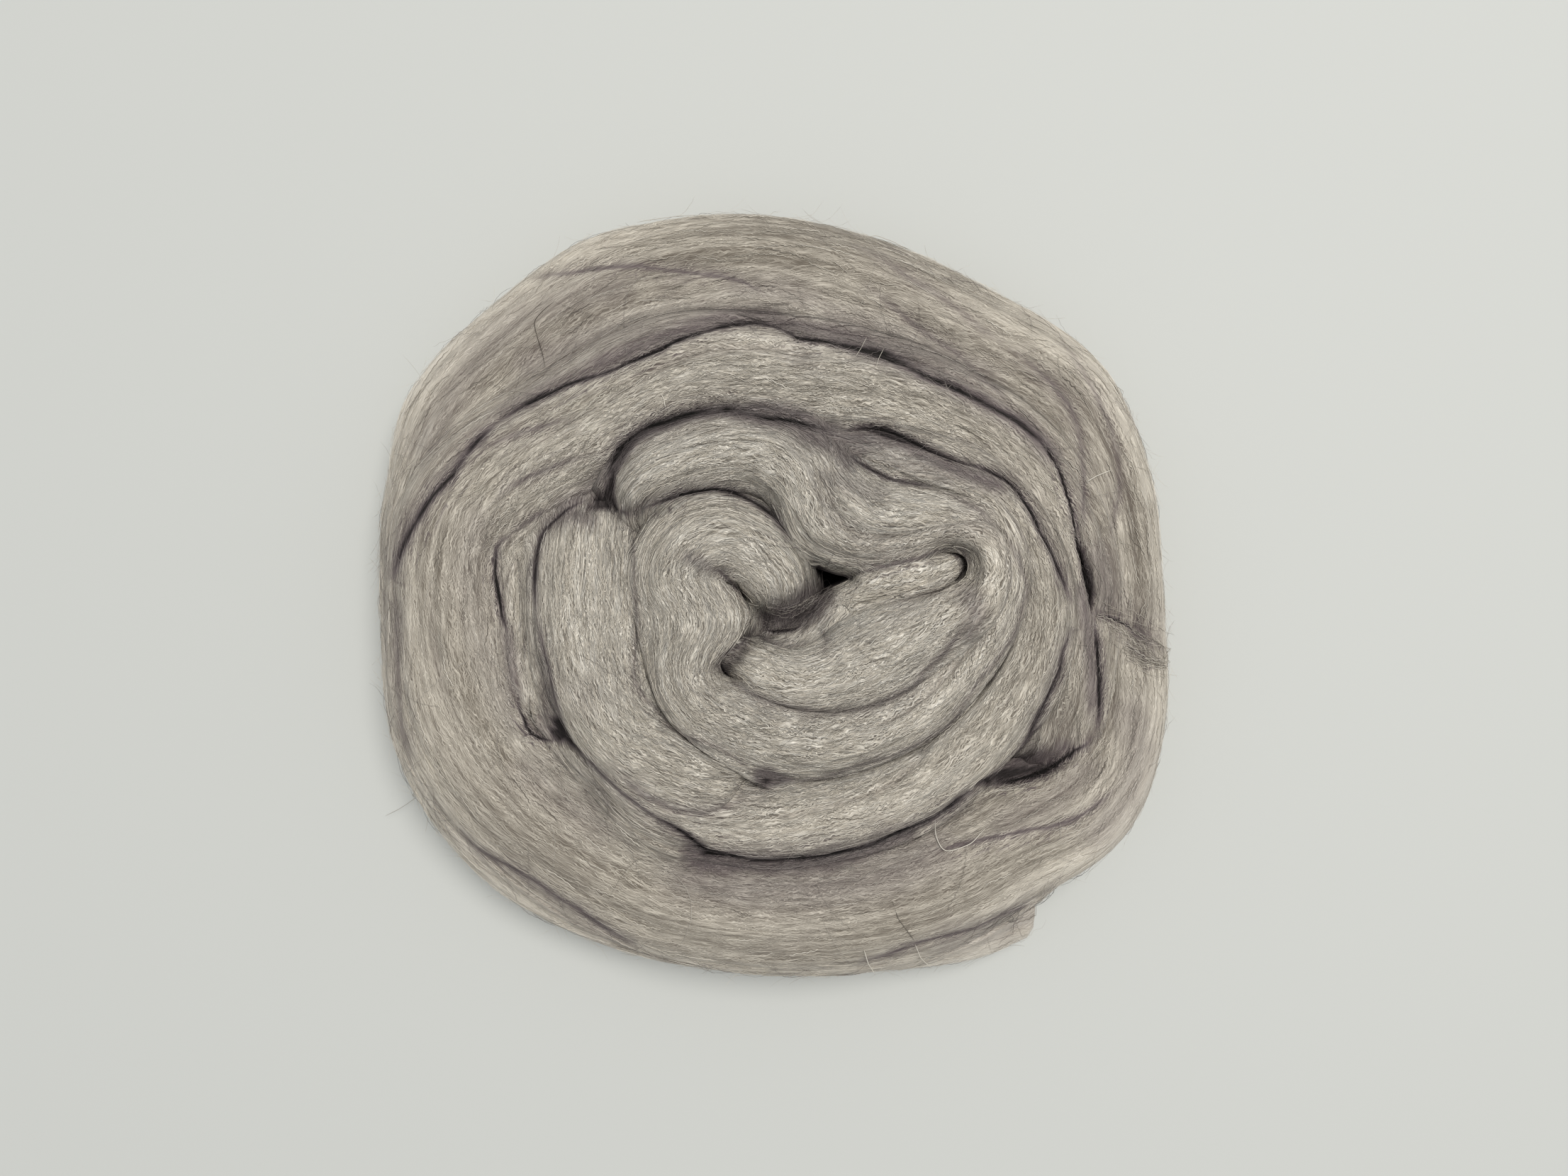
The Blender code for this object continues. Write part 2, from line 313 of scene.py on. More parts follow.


# creases as the lens sees them against the floor: depth, width, how dark their painted shade is, the side
# that lies deeper (1 left, -1 right, 0 both), then x, y along each
creases = {
    "firstLeft": (2.8, 2.6, 0.9, 1, [
        (-136, 2), (-134, 12), (-131, 20), (-128, 25), (-124, 32), (-119, 38), (-115, 42), (-110, 50),
        (-105, 55.5), (-100, 60), (-95, 64),
    ]),
    "firstTop": (3.6, 2.0, 1.0, 1, [
        (-104, 56.5), (-100, 60), (-95, 64), (-90, 67), (-85, 69.5), (-80, 71.5), (-75, 74), (-70, 76),
        (-60, 79), (-50, 83.5), (-40, 87.5), (-35, 90.5), (-30, 92), (-20, 95), (-10, 96.5), (-4, 96.2),
        (2, 94.3), (8, 91), (20, 89.5), (30, 86.5), (40, 83.5), (50, 80), (60, 74.5), (70, 70), (80, 65),
        (85, 62), (90, 58), (94, 53.5), (98, 48),
    ]),
    "firstRight": (3.6, 1.4, 1.0, 1, [
        (88, 60), (92, 56), (96, 51.5), (100, 45), (102.5, 38), (105, 29), (106, 23), (107, 17),
        (108.5, 11), (109.5, 5), (111, -1), (112, -6), (112.6, -12),
    ]),
    "rightWall": (3.2, 1.5, 0.95, -1, [
        (112, -4), (112.8, -12), (113.5, -20), (114, -28), (114.3, -35), (114.3, -42), (113.8, -47),
        (112, -51.5),
    ]),
    "secondLeft": (4.6, 2.8, 1.0, 0, [
        (-62, 36), (-59.5, 41), (-59, 46), (-57, 49), (-55, 52), (-53, 54.5), (-50, 57), (-45, 60),
        (-40, 61), (-35, 63), (-30, 64.5), (-25, 65.5), (-20, 66), (-15, 66), (-10, 65), (-5, 63.2),
    ]),
    "secondOn": (4.0, 2.1, 1.0, 0, [
        (-24, 65.6), (-18, 66), (-10, 65), (-5, 63.2), (0, 62.3), (5, 62), (10, 60.5), (15, 59),
        (20, 57.7), (24, 58),
    ]),
    "secondMiddle": (4.0, 1.7, 1.0, -1, [
        (16, 58.3), (20, 57.9), (25, 58.3), (30, 59.2), (36, 59.3), (40, 58.3), (45, 56), (50, 53.5),
        (55, 51), (60, 49), (65, 47.2), (70, 45.7), (75, 44),
    ]),
    "secondRight": (3.2, 1.6, 1.0, 1, [
        (62, 48.2), (70, 45.7), (75, 44), (80, 41.5), (84, 38.5), (88, 33), (91, 28), (94, 21.5), (97, 16),
        (99, 11), (101, 6), (103, 1), (105, -4),
    ]),
    "lowerLoop": (1.6, 1.3, 0.32, 0, [
        (79, 25), (83, 18), (86, 12), (88, 6), (89, 2), (87.5, -3), (86, -8), (84.5, -13), (82, -17.5),
        (77, -24), (72, -30), (67, -38), (63, -44), (58, -48), (50, -52.5), (40, -57.5), (30, -60),
        (25, -61.5), (20, -63.5), (15, -65), (10, -65.6), (5, -65.2), (0, -66), (-5, -67.5),
    ]),
    "lowerLoopGap": (1.4, 1.2, 0.4, 0, [(86, -9), (84.5, -13), (82.5, -17), (79, -20.5)]),
    "lowerFold": (2.4, 2.0, 0.42, 0, [
        (-23, -24), (-16, -30), (-8, -35.5), (0, -38.5), (10, -41), (20, -41.5), (30, -40.5), (38, -38),
        (48, -33), (54, -26), (60, -20), (66, -12), (72, -5),
    ]),
    "belowLeft": (2.0, 1.4, 0.6, -1, [
        (-74, -50.5), (-72, -53), (-68, -57), (-64, -61), (-60, -65), (-55, -70), (-50, -73.5), (-45, -77),
        (-40, -80.5), (-36, -82.5), (-32, -85),
    ]),
    "belowLoop": (4.0, 2.1, 1.0, -1, [
        (-50, -73.5), (-45, -77), (-40, -80.5), (-36, -82.5), (-32, -85), (-28, -88), (-25, -90.5),
        (-20, -91.5), (-15, -92.6), (-10, -93.6), (-5, -94), (5, -93.5), (15, -92.8), (20, -92),
        (25, -90.7), (30, -89.5), (35, -88), (40, -85.7), (45, -83.5), (50, -81.5), (56, -79), (61, -75.5),
        (65, -72), (70, -69), (73, -67),
    ]),
    "belowShade": (1.4, 5.0, 0.55, -1, [
        (-34, -87), (-24, -92), (-10, -94), (5, -94), (20, -92.5), (32, -89.5), (42, -85.5), (52, -81.5),
    ]),
    "rightStrand": (2.6, 1.5, 0.9, 0, [
        (104.5, -10), (103, -16), (101.5, -20), (100.5, -26), (98.5, -31), (95.5, -38), (93, -43),
        (91, -47), (89, -51), (86, -55), (82, -59),
    ]),
    "hollowLip": (4.0, 1.5, 1.0, 1, [
        (70, -67.5), (73, -67.7), (80, -66.8), (88, -65.3), (95, -63), (99, -60.7), (103, -57.5),
        (107, -54.5), (112, -51.5), (114.3, -47),
    ]),
    "lowerRight": (2.2, 1.6, 0.62, 0, [
        (50, -91), (60, -90), (66, -88.6), (70, -87.3), (76, -86), (84, -84.5), (90, -83), (98, -82),
        (104, -80), (110, -77), (115, -73), (121, -67),
    ]),
    "overTail": (2.4, 1.4, 0.6, -1, [
        (28, -130), (40, -127), (50, -123), (60, -120.5), (70, -118), (80, -113), (90, -109), (97, -106),
    ]),
    "lowerLeft": (2.4, 1.7, 0.6, -1, [
        (-114, -80), (-107, -89), (-100, -93), (-96, -95), (-90, -98.5), (-84, -102), (-79, -106),
        (-70, -111), (-62, -117), (-55, -121), (-46, -125),
    ]),
    "leftEdge": (1.6, 2.0, 0.35, 0, [(-136, 10), (-134, -5), (-134, -25), (-133, -45), (-128, -62)]),
    "topLine": (1.9, 1.6, 0.5, 0, [
        (-88, 111), (-80, 113), (-70, 114.3), (-60, 116), (-50, 116.4), (-40, 115.2), (-30, 114),
        (-20, 113), (-12, 111), (-5, 107), (0, 103),
    ]),
    "slantOne": (2.6, 2.2, 0.38, 0, [
        (30, 110.5), (36, 106), (42, 101.5), (50, 95), (58, 89.5), (65, 85), (72, 77.5), (80, 71),
        (87, 65),
    ]),
    "slantTwo": (2.0, 1.9, 0.28, 0, [
        (26, 124), (34, 120.5), (42, 116), (50, 110.5), (58, 106), (66, 100), (74, 93), (82, 88),
    ]),
    "slantThree": (2.0, 1.9, 0.4, 0, [
        (80, 89), (86, 85), (92, 80), (98, 74.5), (104, 67), (107, 59), (108.3, 50), (109, 40),
        (108.5, 28), (108.2, 18),
    ]),
    "slantFour": (1.4, 1.7, 0.3, 0, [
        (99, 92), (104, 86), (108, 80), (113, 71), (118, 60), (121, 48), (121.5, 36), (119, 26), (118, 18),
    ]),
    "slantFive": (1.4, 1.8, 0.2, 0, [(-2, 112), (12, 106), (26, 98), (38, 92), (50, 85)]),
    "kink": (6.0, 4.5, 0.6, 1, [
        (109, -3), (114, -6.5), (118, -7.5), (122, -9), (126, -11.5), (130, -14), (134, -17.5), (139, -21),
    ]),
    "kinkLine": (1.5, 1.3, 0.9, 1, [(112, -6), (118, -8), (122, -9.5), (126, -11.7), (131, -14.5)]),
    "kinkBelow": (1.6, 1.5, 0.5, 0, [(122, -17), (125, -19), (129, -21.5), (133, -23), (137, -23.5)]),
    "furrowOne": (1.6, 1.8, 0.42, 0, [
        (-112, 49), (-104, 52), (-95, 55.5), (-85, 59), (-78, 61), (-68, 62.5),
    ]),
    "furrowTwo": (1.6, 1.8, 0.42, 0, [
        (-58, 50.5), (-64, 50), (-70, 48.5), (-80, 45), (-88, 41.5), (-95, 37.5), (-101, 32),
    ]),
    "stripTop": (1.8, 1.8, 0.6, 0, [(-95, 20.5), (-90, 24.5), (-84, 28.5), (-77, 31.5)]),
    "stripLeft": (3.2, 1.6, 1.0, 0, [
        (-92, 21.5), (-97, 19.5), (-99, 17), (-99.6, 13), (-99.5, 8), (-99, 3), (-98, -2), (-97, -8),
        (-95, -13), (-94, -18),
    ]),
    "stripLow": (3.4, 1.1, 0.95, 1, [
        (-92, -33), (-91.3, -38), (-90.2, -42), (-88.6, -46), (-86.5, -49.8), (-83, -51.2), (-79, -51.5),
        (-75, -52.2), (-72, -53.7),
    ]),
    "trunkLeft": (2.8, 1.4, 0.85, 0, [
        (-62, 36), (-66, 34.2), (-70, 32.3), (-74, 30.3), (-78, 26.7), (-82, 23), (-83.6, 20), (-84.6, 15),
        (-85.3, 10), (-85.6, 3), (-85.2, -3), (-84.5, -9),
    ]),
    "trunkLow": (2.0, 1.8, 0.6, -1, [
        (-85.5, 0), (-84.6, -8), (-83.6, -14), (-82, -20), (-80.6, -27), (-79.2, -34), (-77.6, -40),
        (-75.5, -46), (-72, -52.5),
    ]),
    "trunkRight": (1.2, 1.3, 0.32, 1, [
        (-49.5, 28), (-50.3, 20), (-50.3, 10), (-49.8, 0), (-49.2, -8), (-49.5, -14), (-50, -22),
        (-50.2, -28), (-49, -33), (-45, -38), (-41, -42), (-38, -46), (-33, -49.7), (-27, -51.5),
        (-20, -54), (-13, -58.5), (-8, -62.5), (-4, -66),
    ]),
    "trunkUnder": (1.4, 2.4, 0.4, 0, [
        (-6, -69), (-15, -74), (-25, -77), (-36, -76), (-48, -70), (-60, -60),
    ]),
    "loopGap": (3.0, 1.7, 1.0, 1, [
        (-52, 28), (-46, 31), (-40, 33.5), (-32, 36), (-22, 37.5), (-15, 36.5), (-8, 33), (-2, 29),
        (2, 24), (6, 18),
    ]),
    "loopEnd": (2.8, 2.0, 0.8, 0, [(-57, 30.5), (-54, 29.5), (-50, 27)]),
    "tongueTop": (1.8, 1.3, 0.6, 0, [(25, 7), (32, 8.5), (40, 10.5), (50, 13), (58, 16), (65, 17)]),
    "tongueEnd": (1.4, 1.4, 0.4, 0, [(62, 17), (66, 16), (67.5, 12), (66.5, 7)]),
    "tongueUnder": (1.2, 1.6, 0.3, 0, [(66, 9), (62, 4.5), (57, 1.5), (50, -0.5), (43, -2.5), (37, -4)]),
    "strandRight": (1.3, 2.2, 0.16, 0, [
        (17, 55), (19, 45), (19, 36), (21, 29), (26, 23), (35, 20.5), (50, 21),
    ]),
    "belowStrand": (1.4, 1.8, 0.4, 0, [(14, -10), (18, -16), (16, -22)]),
    "hook": (2.4, 1.5, 0.6, 1, [(-25, 10), (-20, 8.5), (-15, 3.5), (-11, -1)]),
    "hookUnder": (2.8, 1.6, 0.65, 1, [(-6, -8), (-8, -13), (-13, -18), (-18, -21), (-22.5, -25)]),
    "pitRim": (3.4, 1.5, 1.0, 1, [(-7, -12.5), (0, -12.7), (6, -12.3), (12, -9.5)]),
    "pitSide": (2.6, 1.5, 0.9, 1, [(11, -9), (14, -3), (17, 2), (21, 4)]),
    "wedgeLine": (2.2, 1.4, 0.85, 1, [
        (21, 54), (25, 50), (30, 46.5), (35, 43.5), (40, 41.2), (50, 39), (58, 37.5),
    ]),
    "wedgeOn": (1.4, 2.2, 0.35, 0, [(50, 39), (62, 35.5), (72, 30), (80, 21)]),
}

# places that stand up or lie low, as the lens sees them: x, y, radius, height, how dark their painted shade
# is
mounds = [
    (122, -25, 11, 2.5, 0), (100, -46, 9, -3, 0.1), (122, -14, 6, 2, 0), (-62, -72, 12, -1, 0.12),
    (-84, -62, 10, -1, 0.1), (64, -88, 8, -1, 0.1),
]

# wide soft shades painted beside the folds: width, darkness, then x, y along each, as the lens sees them
shades = [
    (3.2, 0.36, [(-98, 63), (-80, 74), (-66, 80)]),
    (4.2, 0.45, [(-64, 81), (-40, 91), (-20, 98), (-4, 99), (8, 94.5), (30, 89.5)]),
    (1.9, 0.92, [
        (21.5, 88.9), (38, 85.4), (45.7, 81.8), (52.3, 77.5), (64.4, 73), (75.4, 67), (86.4, 61.3),
        (93, 55.3),
    ]),
    (3.8, 0.5, [(28, 87.5), (45, 82), (60, 75), (75, 67.5), (88, 60), (97, 50)]),
    (7.0, 0.26, [(20, 96), (40, 90), (60, 82), (72, 76)]),
    (7.0, 0.16, [(-124, 52), (-116, 68), (-104, 86), (-90, 98), (-72, 105), (-56, 108)]),
    (8.0, 0.2, [(-86, 82), (-66, 89), (-45, 94), (-20, 99)]),
    (6.0, 0.2, [(-14, 108), (0, 107.5), (12, 104)]),
    (2.6, 0.75, [(-57, 45), (-54, 51), (-49, 56.5), (-40, 60.5), (-30, 64), (-20, 65.5), (-10, 64.5)]),
    (3.8, 0.62, [(-14, 65), (0, 62), (10, 60), (20, 58)]),
    (2.6, 0.55, [(-8, 66.5), (3, 65.5), (12, 62.5)]),
    (3.8, 0.5, [(22, 56), (36, 56.5), (45, 53.5), (55, 48), (65, 44), (78, 39)]),
    (3.6, 0.42, [(-76, 31), (-68, 35), (-62, 40), (-59, 45)]),
    (3.5, 0.42, [(-80, 26), (-72, 28.5), (-66, 27)]),
    (2.6, 0.4, [(-51, 29), (-43, 33)]),
    (2.5, 0.32, [(-31, 13), (-24, 10)]),
    (5.0, 0.6, [(2, -6.5), (9, -7), (13, -5), (16, -1)]),
    (4.0, 0.5, [(9, 57), (14, 55), (19, 53)]),
    (5.0, 0.22, [(30, 51), (38, 49.5), (50, 45.5), (60, 41.5)]),
    (4.0, 0.2, [(18, 42), (26, 38), (36, 36)]),
    (9.0, 0.26, [(-30, -99), (-10, -103), (15, -102.5), (40, -97.5), (56, -90)]),
    (7.0, 0.12, [(-105, 25), (-108, 5), (-104, -15), (-98, -30), (-90, -45)]),
    (6.0, 0.15, [(-88, -62), (-76, -72), (-62, -82)]),
    (3.0, 0.4, [(-95, -14), (-93.5, -22), (-92.5, -30), (-92, -36)]),
    (3.0, 0.45, [(90, -56), (98, -56), (105, -53.5)]),
    (6.0, 0.26, [(113, 14), (116, 2), (118, -4)]),
    (3.0, 0.42, [(108, 2), (110, -12), (111.5, -26), (112, -40)]),
    (7.0, 0.2, [(125, -42), (129, -56), (125, -72), (114, -84)]),
    (6.0, 0.2, [(60, -122), (80, -118), (98, -108)]),
    (6.0, 0.16, [(110, -62), (96, -74), (80, -80)]),
    (4.0, 0.32, [(68, 0), (71, -7), (68, -14)]),
]

# gaps between the folds, as the lens sees them: depth, edge, how dark their painted shade is, then the
# outline
hollows = {
    "blackGap": (12, 1.2, 0.88, [
        (13, 12), (17, 9.2), (22, 7.4), (28, 6.4), (24, 4.8), (21, 3.2), (18.5, 2.8), (17, 5), (15, 8),
    ]),
    "pit": (5, 6, 0.6, [
        (-6, -6), (-6, -12), (-5, -13), (0, -13), (6, -12.5), (12, -10), (16.5, -4), (20, 2), (17, 6),
        (11, 3), (4, -2), (-2, -5),
    ]),
    "rightGap": (5, 3.5, 0.42, [
        (70, -67.5), (75, -64), (80, -60), (84, -57), (88, -56.3), (93, -56), (100, -55.3), (106, -53.3),
        (111, -50.2), (114, -46), (114, -48), (112.5, -51.5), (107, -54.5), (103, -57.5), (99, -60.7),
        (95, -63), (88, -65.3), (80, -66.8), (73, -67.7),
    ]),
    "rightGapDark": (7, 1.8, 0.85, [
        (70, -67.5), (76, -64), (81, -61.3), (86, -61.3), (92, -61.3), (98, -60), (103, -57.2),
        (99, -60.8), (95, -63.1), (88, -65.4), (80, -66.9), (73, -67.8),
    ]),
    "rightGapEnd": (1, 2.0, 0.6, [(83, -57.5), (88, -56.5), (93, -57.5), (96, -60), (92, -62), (84, -62)]),
    "leftGap": (4, 3.0, 0.3, [
        (-88, -47), (-86, -44), (-84, -41.5), (-83, -41), (-84, -30), (-83.5, -20), (-80.8, -22),
        (-79, -34), (-77.4, -40), (-75.3, -46), (-71.8, -53.8), (-75, -52.3), (-79, -51.6), (-83, -51.3),
        (-86.6, -50),
    ]),
    "leftGapDark": (6, 1.8, 0.85, [
        (-79.5, -44), (-77.5, -42), (-75.5, -46), (-72, -52), (-67, -58.5), (-71.8, -54), (-75, -52.3),
        (-80, -51.3), (-80, -48),
    ]),
    "lowerGap": (4, 2.5, 0.5, [
        (-33, -86), (-28, -88.5), (-24, -91), (-18, -92), (-8, -94), (10, -94), (22, -92), (32, -89.5),
        (42, -85.5), (49, -82), (50, -86), (42, -89.5), (30, -95), (20, -98), (0, -99), (-20, -99),
        (-28, -99), (-32, -96), (-33, -91),
    ]),
    "lowerGapDark": (6, 1.6, 0.9, [
        (-29, -88), (-25, -90.5), (-18, -92), (-8, -94), (5, -94), (5, -95.2), (-8, -95.6), (-18, -94.6),
        (-25, -94),
    ]),
    "trunkFoot": (5, 1.3, 0.8, [
        (-5.8, -65.4), (-3, -64.4), (0, -65.3), (-1.3, -66.5), (-4, -67.3), (-5.8, -66.8),
    ]),
    "trunkFootShade": (1, 3.2, 0.55, [
        (-8, -61.5), (-4, -60.3), (2, -62.8), (8, -65.5), (2, -67), (-4, -69), (-7.5, -67.5),
    ]),
    "trunkHead": (6, 1.8, 0.75, [
        (-69, 31.3), (-64, 35), (-60.5, 39.5), (-59, 44), (-57.6, 38), (-56.6, 32), (-53, 30), (-60, 30.2),
    ]),
    "rightSlit": (7, 1.2, 0.95, [
        (107, 19), (108.2, 12), (109.2, 6), (110.3, 0), (111.6, -5), (112.7, -5), (113, 0), (112.2, 5),
        (110.8, 10), (109, 17),
    ]),
    "hookGap": (4, 3.0, 0.42, [
        (-23, -25.5), (-18, -21), (-13, -18), (-8, -14), (-9, -19), (-13, -24), (-18, -28),
    ]),
    "wedgeGap": (2.0, 7.0, 0.42, [
        (14, 59), (20, 57.6), (30, 58.8), (38, 58.5), (46, 55.3), (54, 51), (44, 51.5), (34, 50.5),
        (30, 46), (24, 42), (20, 48),
    ]),
    "wedgeDark": (4, 2.0, 0.85, [
        (32, 59), (38, 58.9), (44, 56.4), (50, 53.4), (57, 50), (50, 51.8), (42, 54.5), (35, 56.8),
    ]),
}

# the darkness of the creases, mounds, shades and hollows is painted shade, put into the colour
creaseLook = {
    "lineWidth": 0.75,  # half the width of a painted dark line, as a share of its crease's width
    "reach": 4.0,  # in line widths, where a line's painted darkness has ended
    "soft": 0.22,  # how dark the painted soft shade beside a painted dark line is
    "layers": 4,  # creases that come near each other are kept on layers of their own
    "apart": 1.5,  # how near, in millimetres between their reaches
    "taper": 14.0,  # over this length an end fades
    "steepSide": 0.4,  # how wide the steep side of a one-sided crease is
    "slowSide": 0.3,  # how much wider its other side is
    "valley": (1.15, 1.3),  # how wide it sinks, in crease widths, and how sharply
    "shadow": (1.8, 1.5),  # the same for the painted soft shade
    "endDepth": 0.15,  # how deep its very ends still are
    "wave": (0.25, 13),  # how much the depth changes along a crease, and over what length
    "ragged": (0.5, 9),  # the same for its painted darkness
    "fade": 0.4,  # the share of the reach over which a dark line ends
    "touching": (0.12, 1.8),  # how dark the painted shade is where bands touch, and how far off that ends
    "furrow": 0.14,  # how dark the painted shade in a long furrow is
}


def creaseLayers():  # a layer for each crease, so that on one layer none comes near another
    placed = []
    for depth, width, darkness, side, line in creases.values():
        line = np.array(line, float)
        points = np.concatenate([np.linspace(a, b, 8) for a, b in zip(line[:-1], line[1:])])
        reach = creaseLook["reach"] * creaseLook["lineWidth"] * width
        taken = set()
        for others, otherReach, layer in placed:
            apart = np.linalg.norm(points[:, None] - others[None, :], axis=2).min()
            if apart < reach + otherReach + creaseLook["apart"]:
                taken.add(layer)
        free = [layer for layer in range(creaseLook["layers"]) if layer not in taken]
        placed.append((points, reach, free[0] if free else creaseLook["layers"] - 1))
    return [layer for points, reach, layer in placed]


def creaseAt(points, depth, width, darkness, side, line):
    # how far each point sinks, the painted soft shade, the place across the painted dark line and how dark
    # it is
    nearest, place, sign, length = nearLine(points, line)
    taper = np.clip(np.minimum(place, length - place) / min(creaseLook["taper"], length / 3), 0, 1) ** 0.7
    slow = 1 + creaseLook["slowSide"] * abs(side)
    wide = width * np.where(sign * side < 0, creaseLook["steepSide"], slow)

    def change(name, lane, seed):
        share, over = creaseLook[name]
        return 1 + share * smoothNoise(place / over, lane, seed)

    def bell(name):
        reach, power = creaseLook[name]
        return np.exp(-((nearest / (reach * wide)) ** power))

    sunk = depth * change("wave", depth, 5) * (bell("valley") * np.maximum(taper, creaseLook["endDepth"]))
    across = sign * nearest / (creaseLook["lineWidth"] * width)
    reach = creaseLook["reach"]
    ending = np.clip((reach - np.abs(across)) / (creaseLook["fade"] * reach), 0, 1)
    strength = darkness * taper * ending * np.clip(change("ragged", width, 8), 0, 1)
    return sunk, darkness * (bell("shadow") * taper), across, strength


def creaseDepths(points, rises):  # how far each point sinks, the painted soft shade, and each layer's painted dark lines
    seen = seenPlaces(points)
    sunk, soft = np.zeros(seen.shape[:-1]), np.zeros(seen.shape[:-1])
    empty = (np.full(sunk.shape, creaseLook["reach"]), np.zeros(sunk.shape))
    lines = [[values.copy() for values in empty] for _ in range(creaseLook["layers"])]

    def around(line, margin):  # which points lie in the box round a line
        return ((seen > np.min(line, axis=0) - margin) & (seen < np.max(line, axis=0) + margin)).all(-1)

    for layer, crease in zip(creaseLayers(), creases.values()):
        inside = around(crease[4], 5 * crease[1])
        sinking, shade, place, strength = creaseAt(seen[inside], *crease)
        sunk[inside] = np.maximum(sunk[inside], sinking)
        soft[inside] = np.maximum(soft[inside], shade)
        mine = inside.copy()
        mine[inside] = strength > lines[layer][1][inside]
        lines[layer][0][mine] = place[mine[inside]]
        lines[layer][1][mine] = strength[mine[inside]]
    for x, y, radius, height, darkness in mounds:
        share = np.exp(-((np.hypot(seen[..., 0] - x, seen[..., 1] - y) / radius) ** 2))
        sunk -= height * share
        soft = np.maximum(soft, darkness / creaseLook["soft"] * share)
    for width, darkness, line in shades:
        share = np.exp(-((nearLine(seen, line)[0] / width) ** 2))
        soft = np.maximum(soft, darkness / creaseLook["soft"] * share)
    upward = np.clip(rises * 4 + 1, 0, 1)  # the lower half of a side gets no painted shade
    soft *= upward
    for depth, edge, darkness, outline in hollows.values():
        inside = around(outline, edge)
        share = np.clip(insideDistance(seen[inside], outline) / edge + 0.5, 0, 1)
        share = share * share * (3 - 2 * share)
        sunk[inside] = np.maximum(sunk[inside], depth * share)
        soft[inside] = np.maximum(soft[inside], darkness / creaseLook["soft"] * share)
    facing = np.clip(rises * 1.6 + 0.2, 0, 1)
    return sunk * facing, soft, [(place, strength * upward) for place, strength in lines]


def lineShade(lines):  # how dark the painted crisp lines make each point
    return np.max([strength * np.exp(-(np.abs(place) ** 1.5)) for place, strength in lines], axis=0)


def finishSurface(spec, surface):
    height, furrow = bandRelief(surface["along"], surface["across"], spec["seed"])
    height *= np.clip(surface["shrink"], 0, 1)[:, None]
    height *= np.clip((surface["rise"][None, :] + 1.05) * 2, 0, 1)  # the underside stays calm
    points = surface["points"] + surface["outward"] * height[..., None]
    sunk, soft, lines = creaseDepths(points, surface["outward"][..., 2])
    points[..., 2] = np.maximum(points[..., 2] - sunk, 0)
    points[:, -1] = points[:, 0]
    points[0], points[-1] = points[0].mean(axis=0), points[-1].mean(axis=0)
    # painted shade: where bands touch, and along the long furrows
    touchDark, touchReach = creaseLook["touching"]
    touching = np.exp(-((np.clip(surface["clear"], 0, None) / touchReach) ** 2)) * surface["crisp"] ** 2
    shade = np.maximum(creaseLook["soft"] * soft, touchDark * touching)
    slopeAlong, slopeAcross = np.gradient(points, axis=0), np.gradient(points, axis=1)
    normal = np.cross(slopeAcross, slopeAlong)
    flat = np.linalg.norm(normal, axis=2, keepdims=True) < 1e-6
    normal = np.where(flat, surface["outward"], unit(normal))
    flip = np.sign((normal * surface["outward"]).sum(-1, keepdims=True))
    surface["points"] = points
    surface["shade"] = np.clip(shade + creaseLook["furrow"] * furrow, 0, 1)
    surface["lines"] = lines
    surface["normal"] = normal * np.where(flip == 0, 1, flip)


def gridMesh(name, points, uvPlaces=None, values=None, tubeRings=None):
    # rings of points from create_grid, with first and last columns welded, into one tube or many
    rings, ringPoints = points.shape[:2]
    mesh = bmesh.new()
    bmesh.ops.create_grid(mesh, x_segments=rings - 1, y_segments=ringPoints - 1, size=1)
    if tubeRings:
        between = [f for f in mesh.faces if f.verts[0].index % rings % tubeRings == tubeRings - 1]
        bmesh.ops.delete(mesh, geom=between, context="FACES")
    data = bpy.data.meshes.new(name)
    mesh.to_mesh(data)
    mesh.free()
    flat = np.empty(len(data.vertices) * 3)
    data.vertices.foreach_get("co", flat)
    flat = flat.reshape(-1, 3)
    i = np.rint((flat[:, 0] + 1) / 2 * (rings - 1)).astype(int)
    j = np.rint((flat[:, 1] + 1) / 2 * (ringPoints - 1)).astype(int)
    data.vertices.foreach_set("co", (points[i, j] * mm).ravel())
    if uvPlaces is not None:
        corners = np.empty(len(data.loops), int)
        data.loops.foreach_get("vertex_index", corners)
        uv = data.uv_layers.new(name="fibres")
        uv.data.foreach_set("uv", uvPlaces[i, j][corners].ravel())
    for key, value in (values or {}).items():
        attribute = data.attributes.new(key, "FLOAT", "POINT")
        attribute.data.foreach_set("value", value[i, j])
    mesh = bmesh.new()
    mesh.from_mesh(data)
    bmesh.ops.remove_doubles(mesh, verts=mesh.verts, dist=0.0000005)
    bmesh.ops.recalc_face_normals(mesh, faces=mesh.faces)
    mesh.to_mesh(data)
    mesh.free()
    data.shade_smooth()
    return data


def bandMesh(spec, surface):
    places = np.stack((surface["along"], surface["across"]), axis=-1) * 0.01  # a UV unit is 100 mm
    # the painted shade and each layer's painted dark lines go on as attributes
    values = {"shade": surface["shade"]}
    for number, (place, strength) in enumerate(surface["lines"]):
        values[f"line_{number}"], values[f"strength_{number}"] = place, strength
    return gridMesh(spec["name"], surface["points"], places, values)


def addPiece(name, data, material):
    piece = bpy.data.objects.new(name, data)
    bpy.context.scene.collection.objects.link(piece)
    data.materials.clear()
    data.materials.append(material)
    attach(piece, "root")
    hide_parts(node)
    return piece


# fibres: thin three-sided hairs, sixteen short lengths each
fibreLook = {
    "lengths": 16,
    "perPiece": 2100,
    "width": (0.15, 0.26),
    "reach": (9.0, 13.0),
    "bend": 0.012,
    "crimpHeight": (0.06, 0.26),
    "crimpLength": (1.9, 3.1),
    "jitter": 0.07,
    "lift": (0.02, 0.3),  # how high above the wool they lie
    "rooted": (0, 0.5),  # how deep the near end goes in
    "darkShare": 0.06,  # how many of them are dark
    "darkTones": (0.1, 0.4),
    "underLine": 0.9,  # how much of a crease's painted darkness they take
}
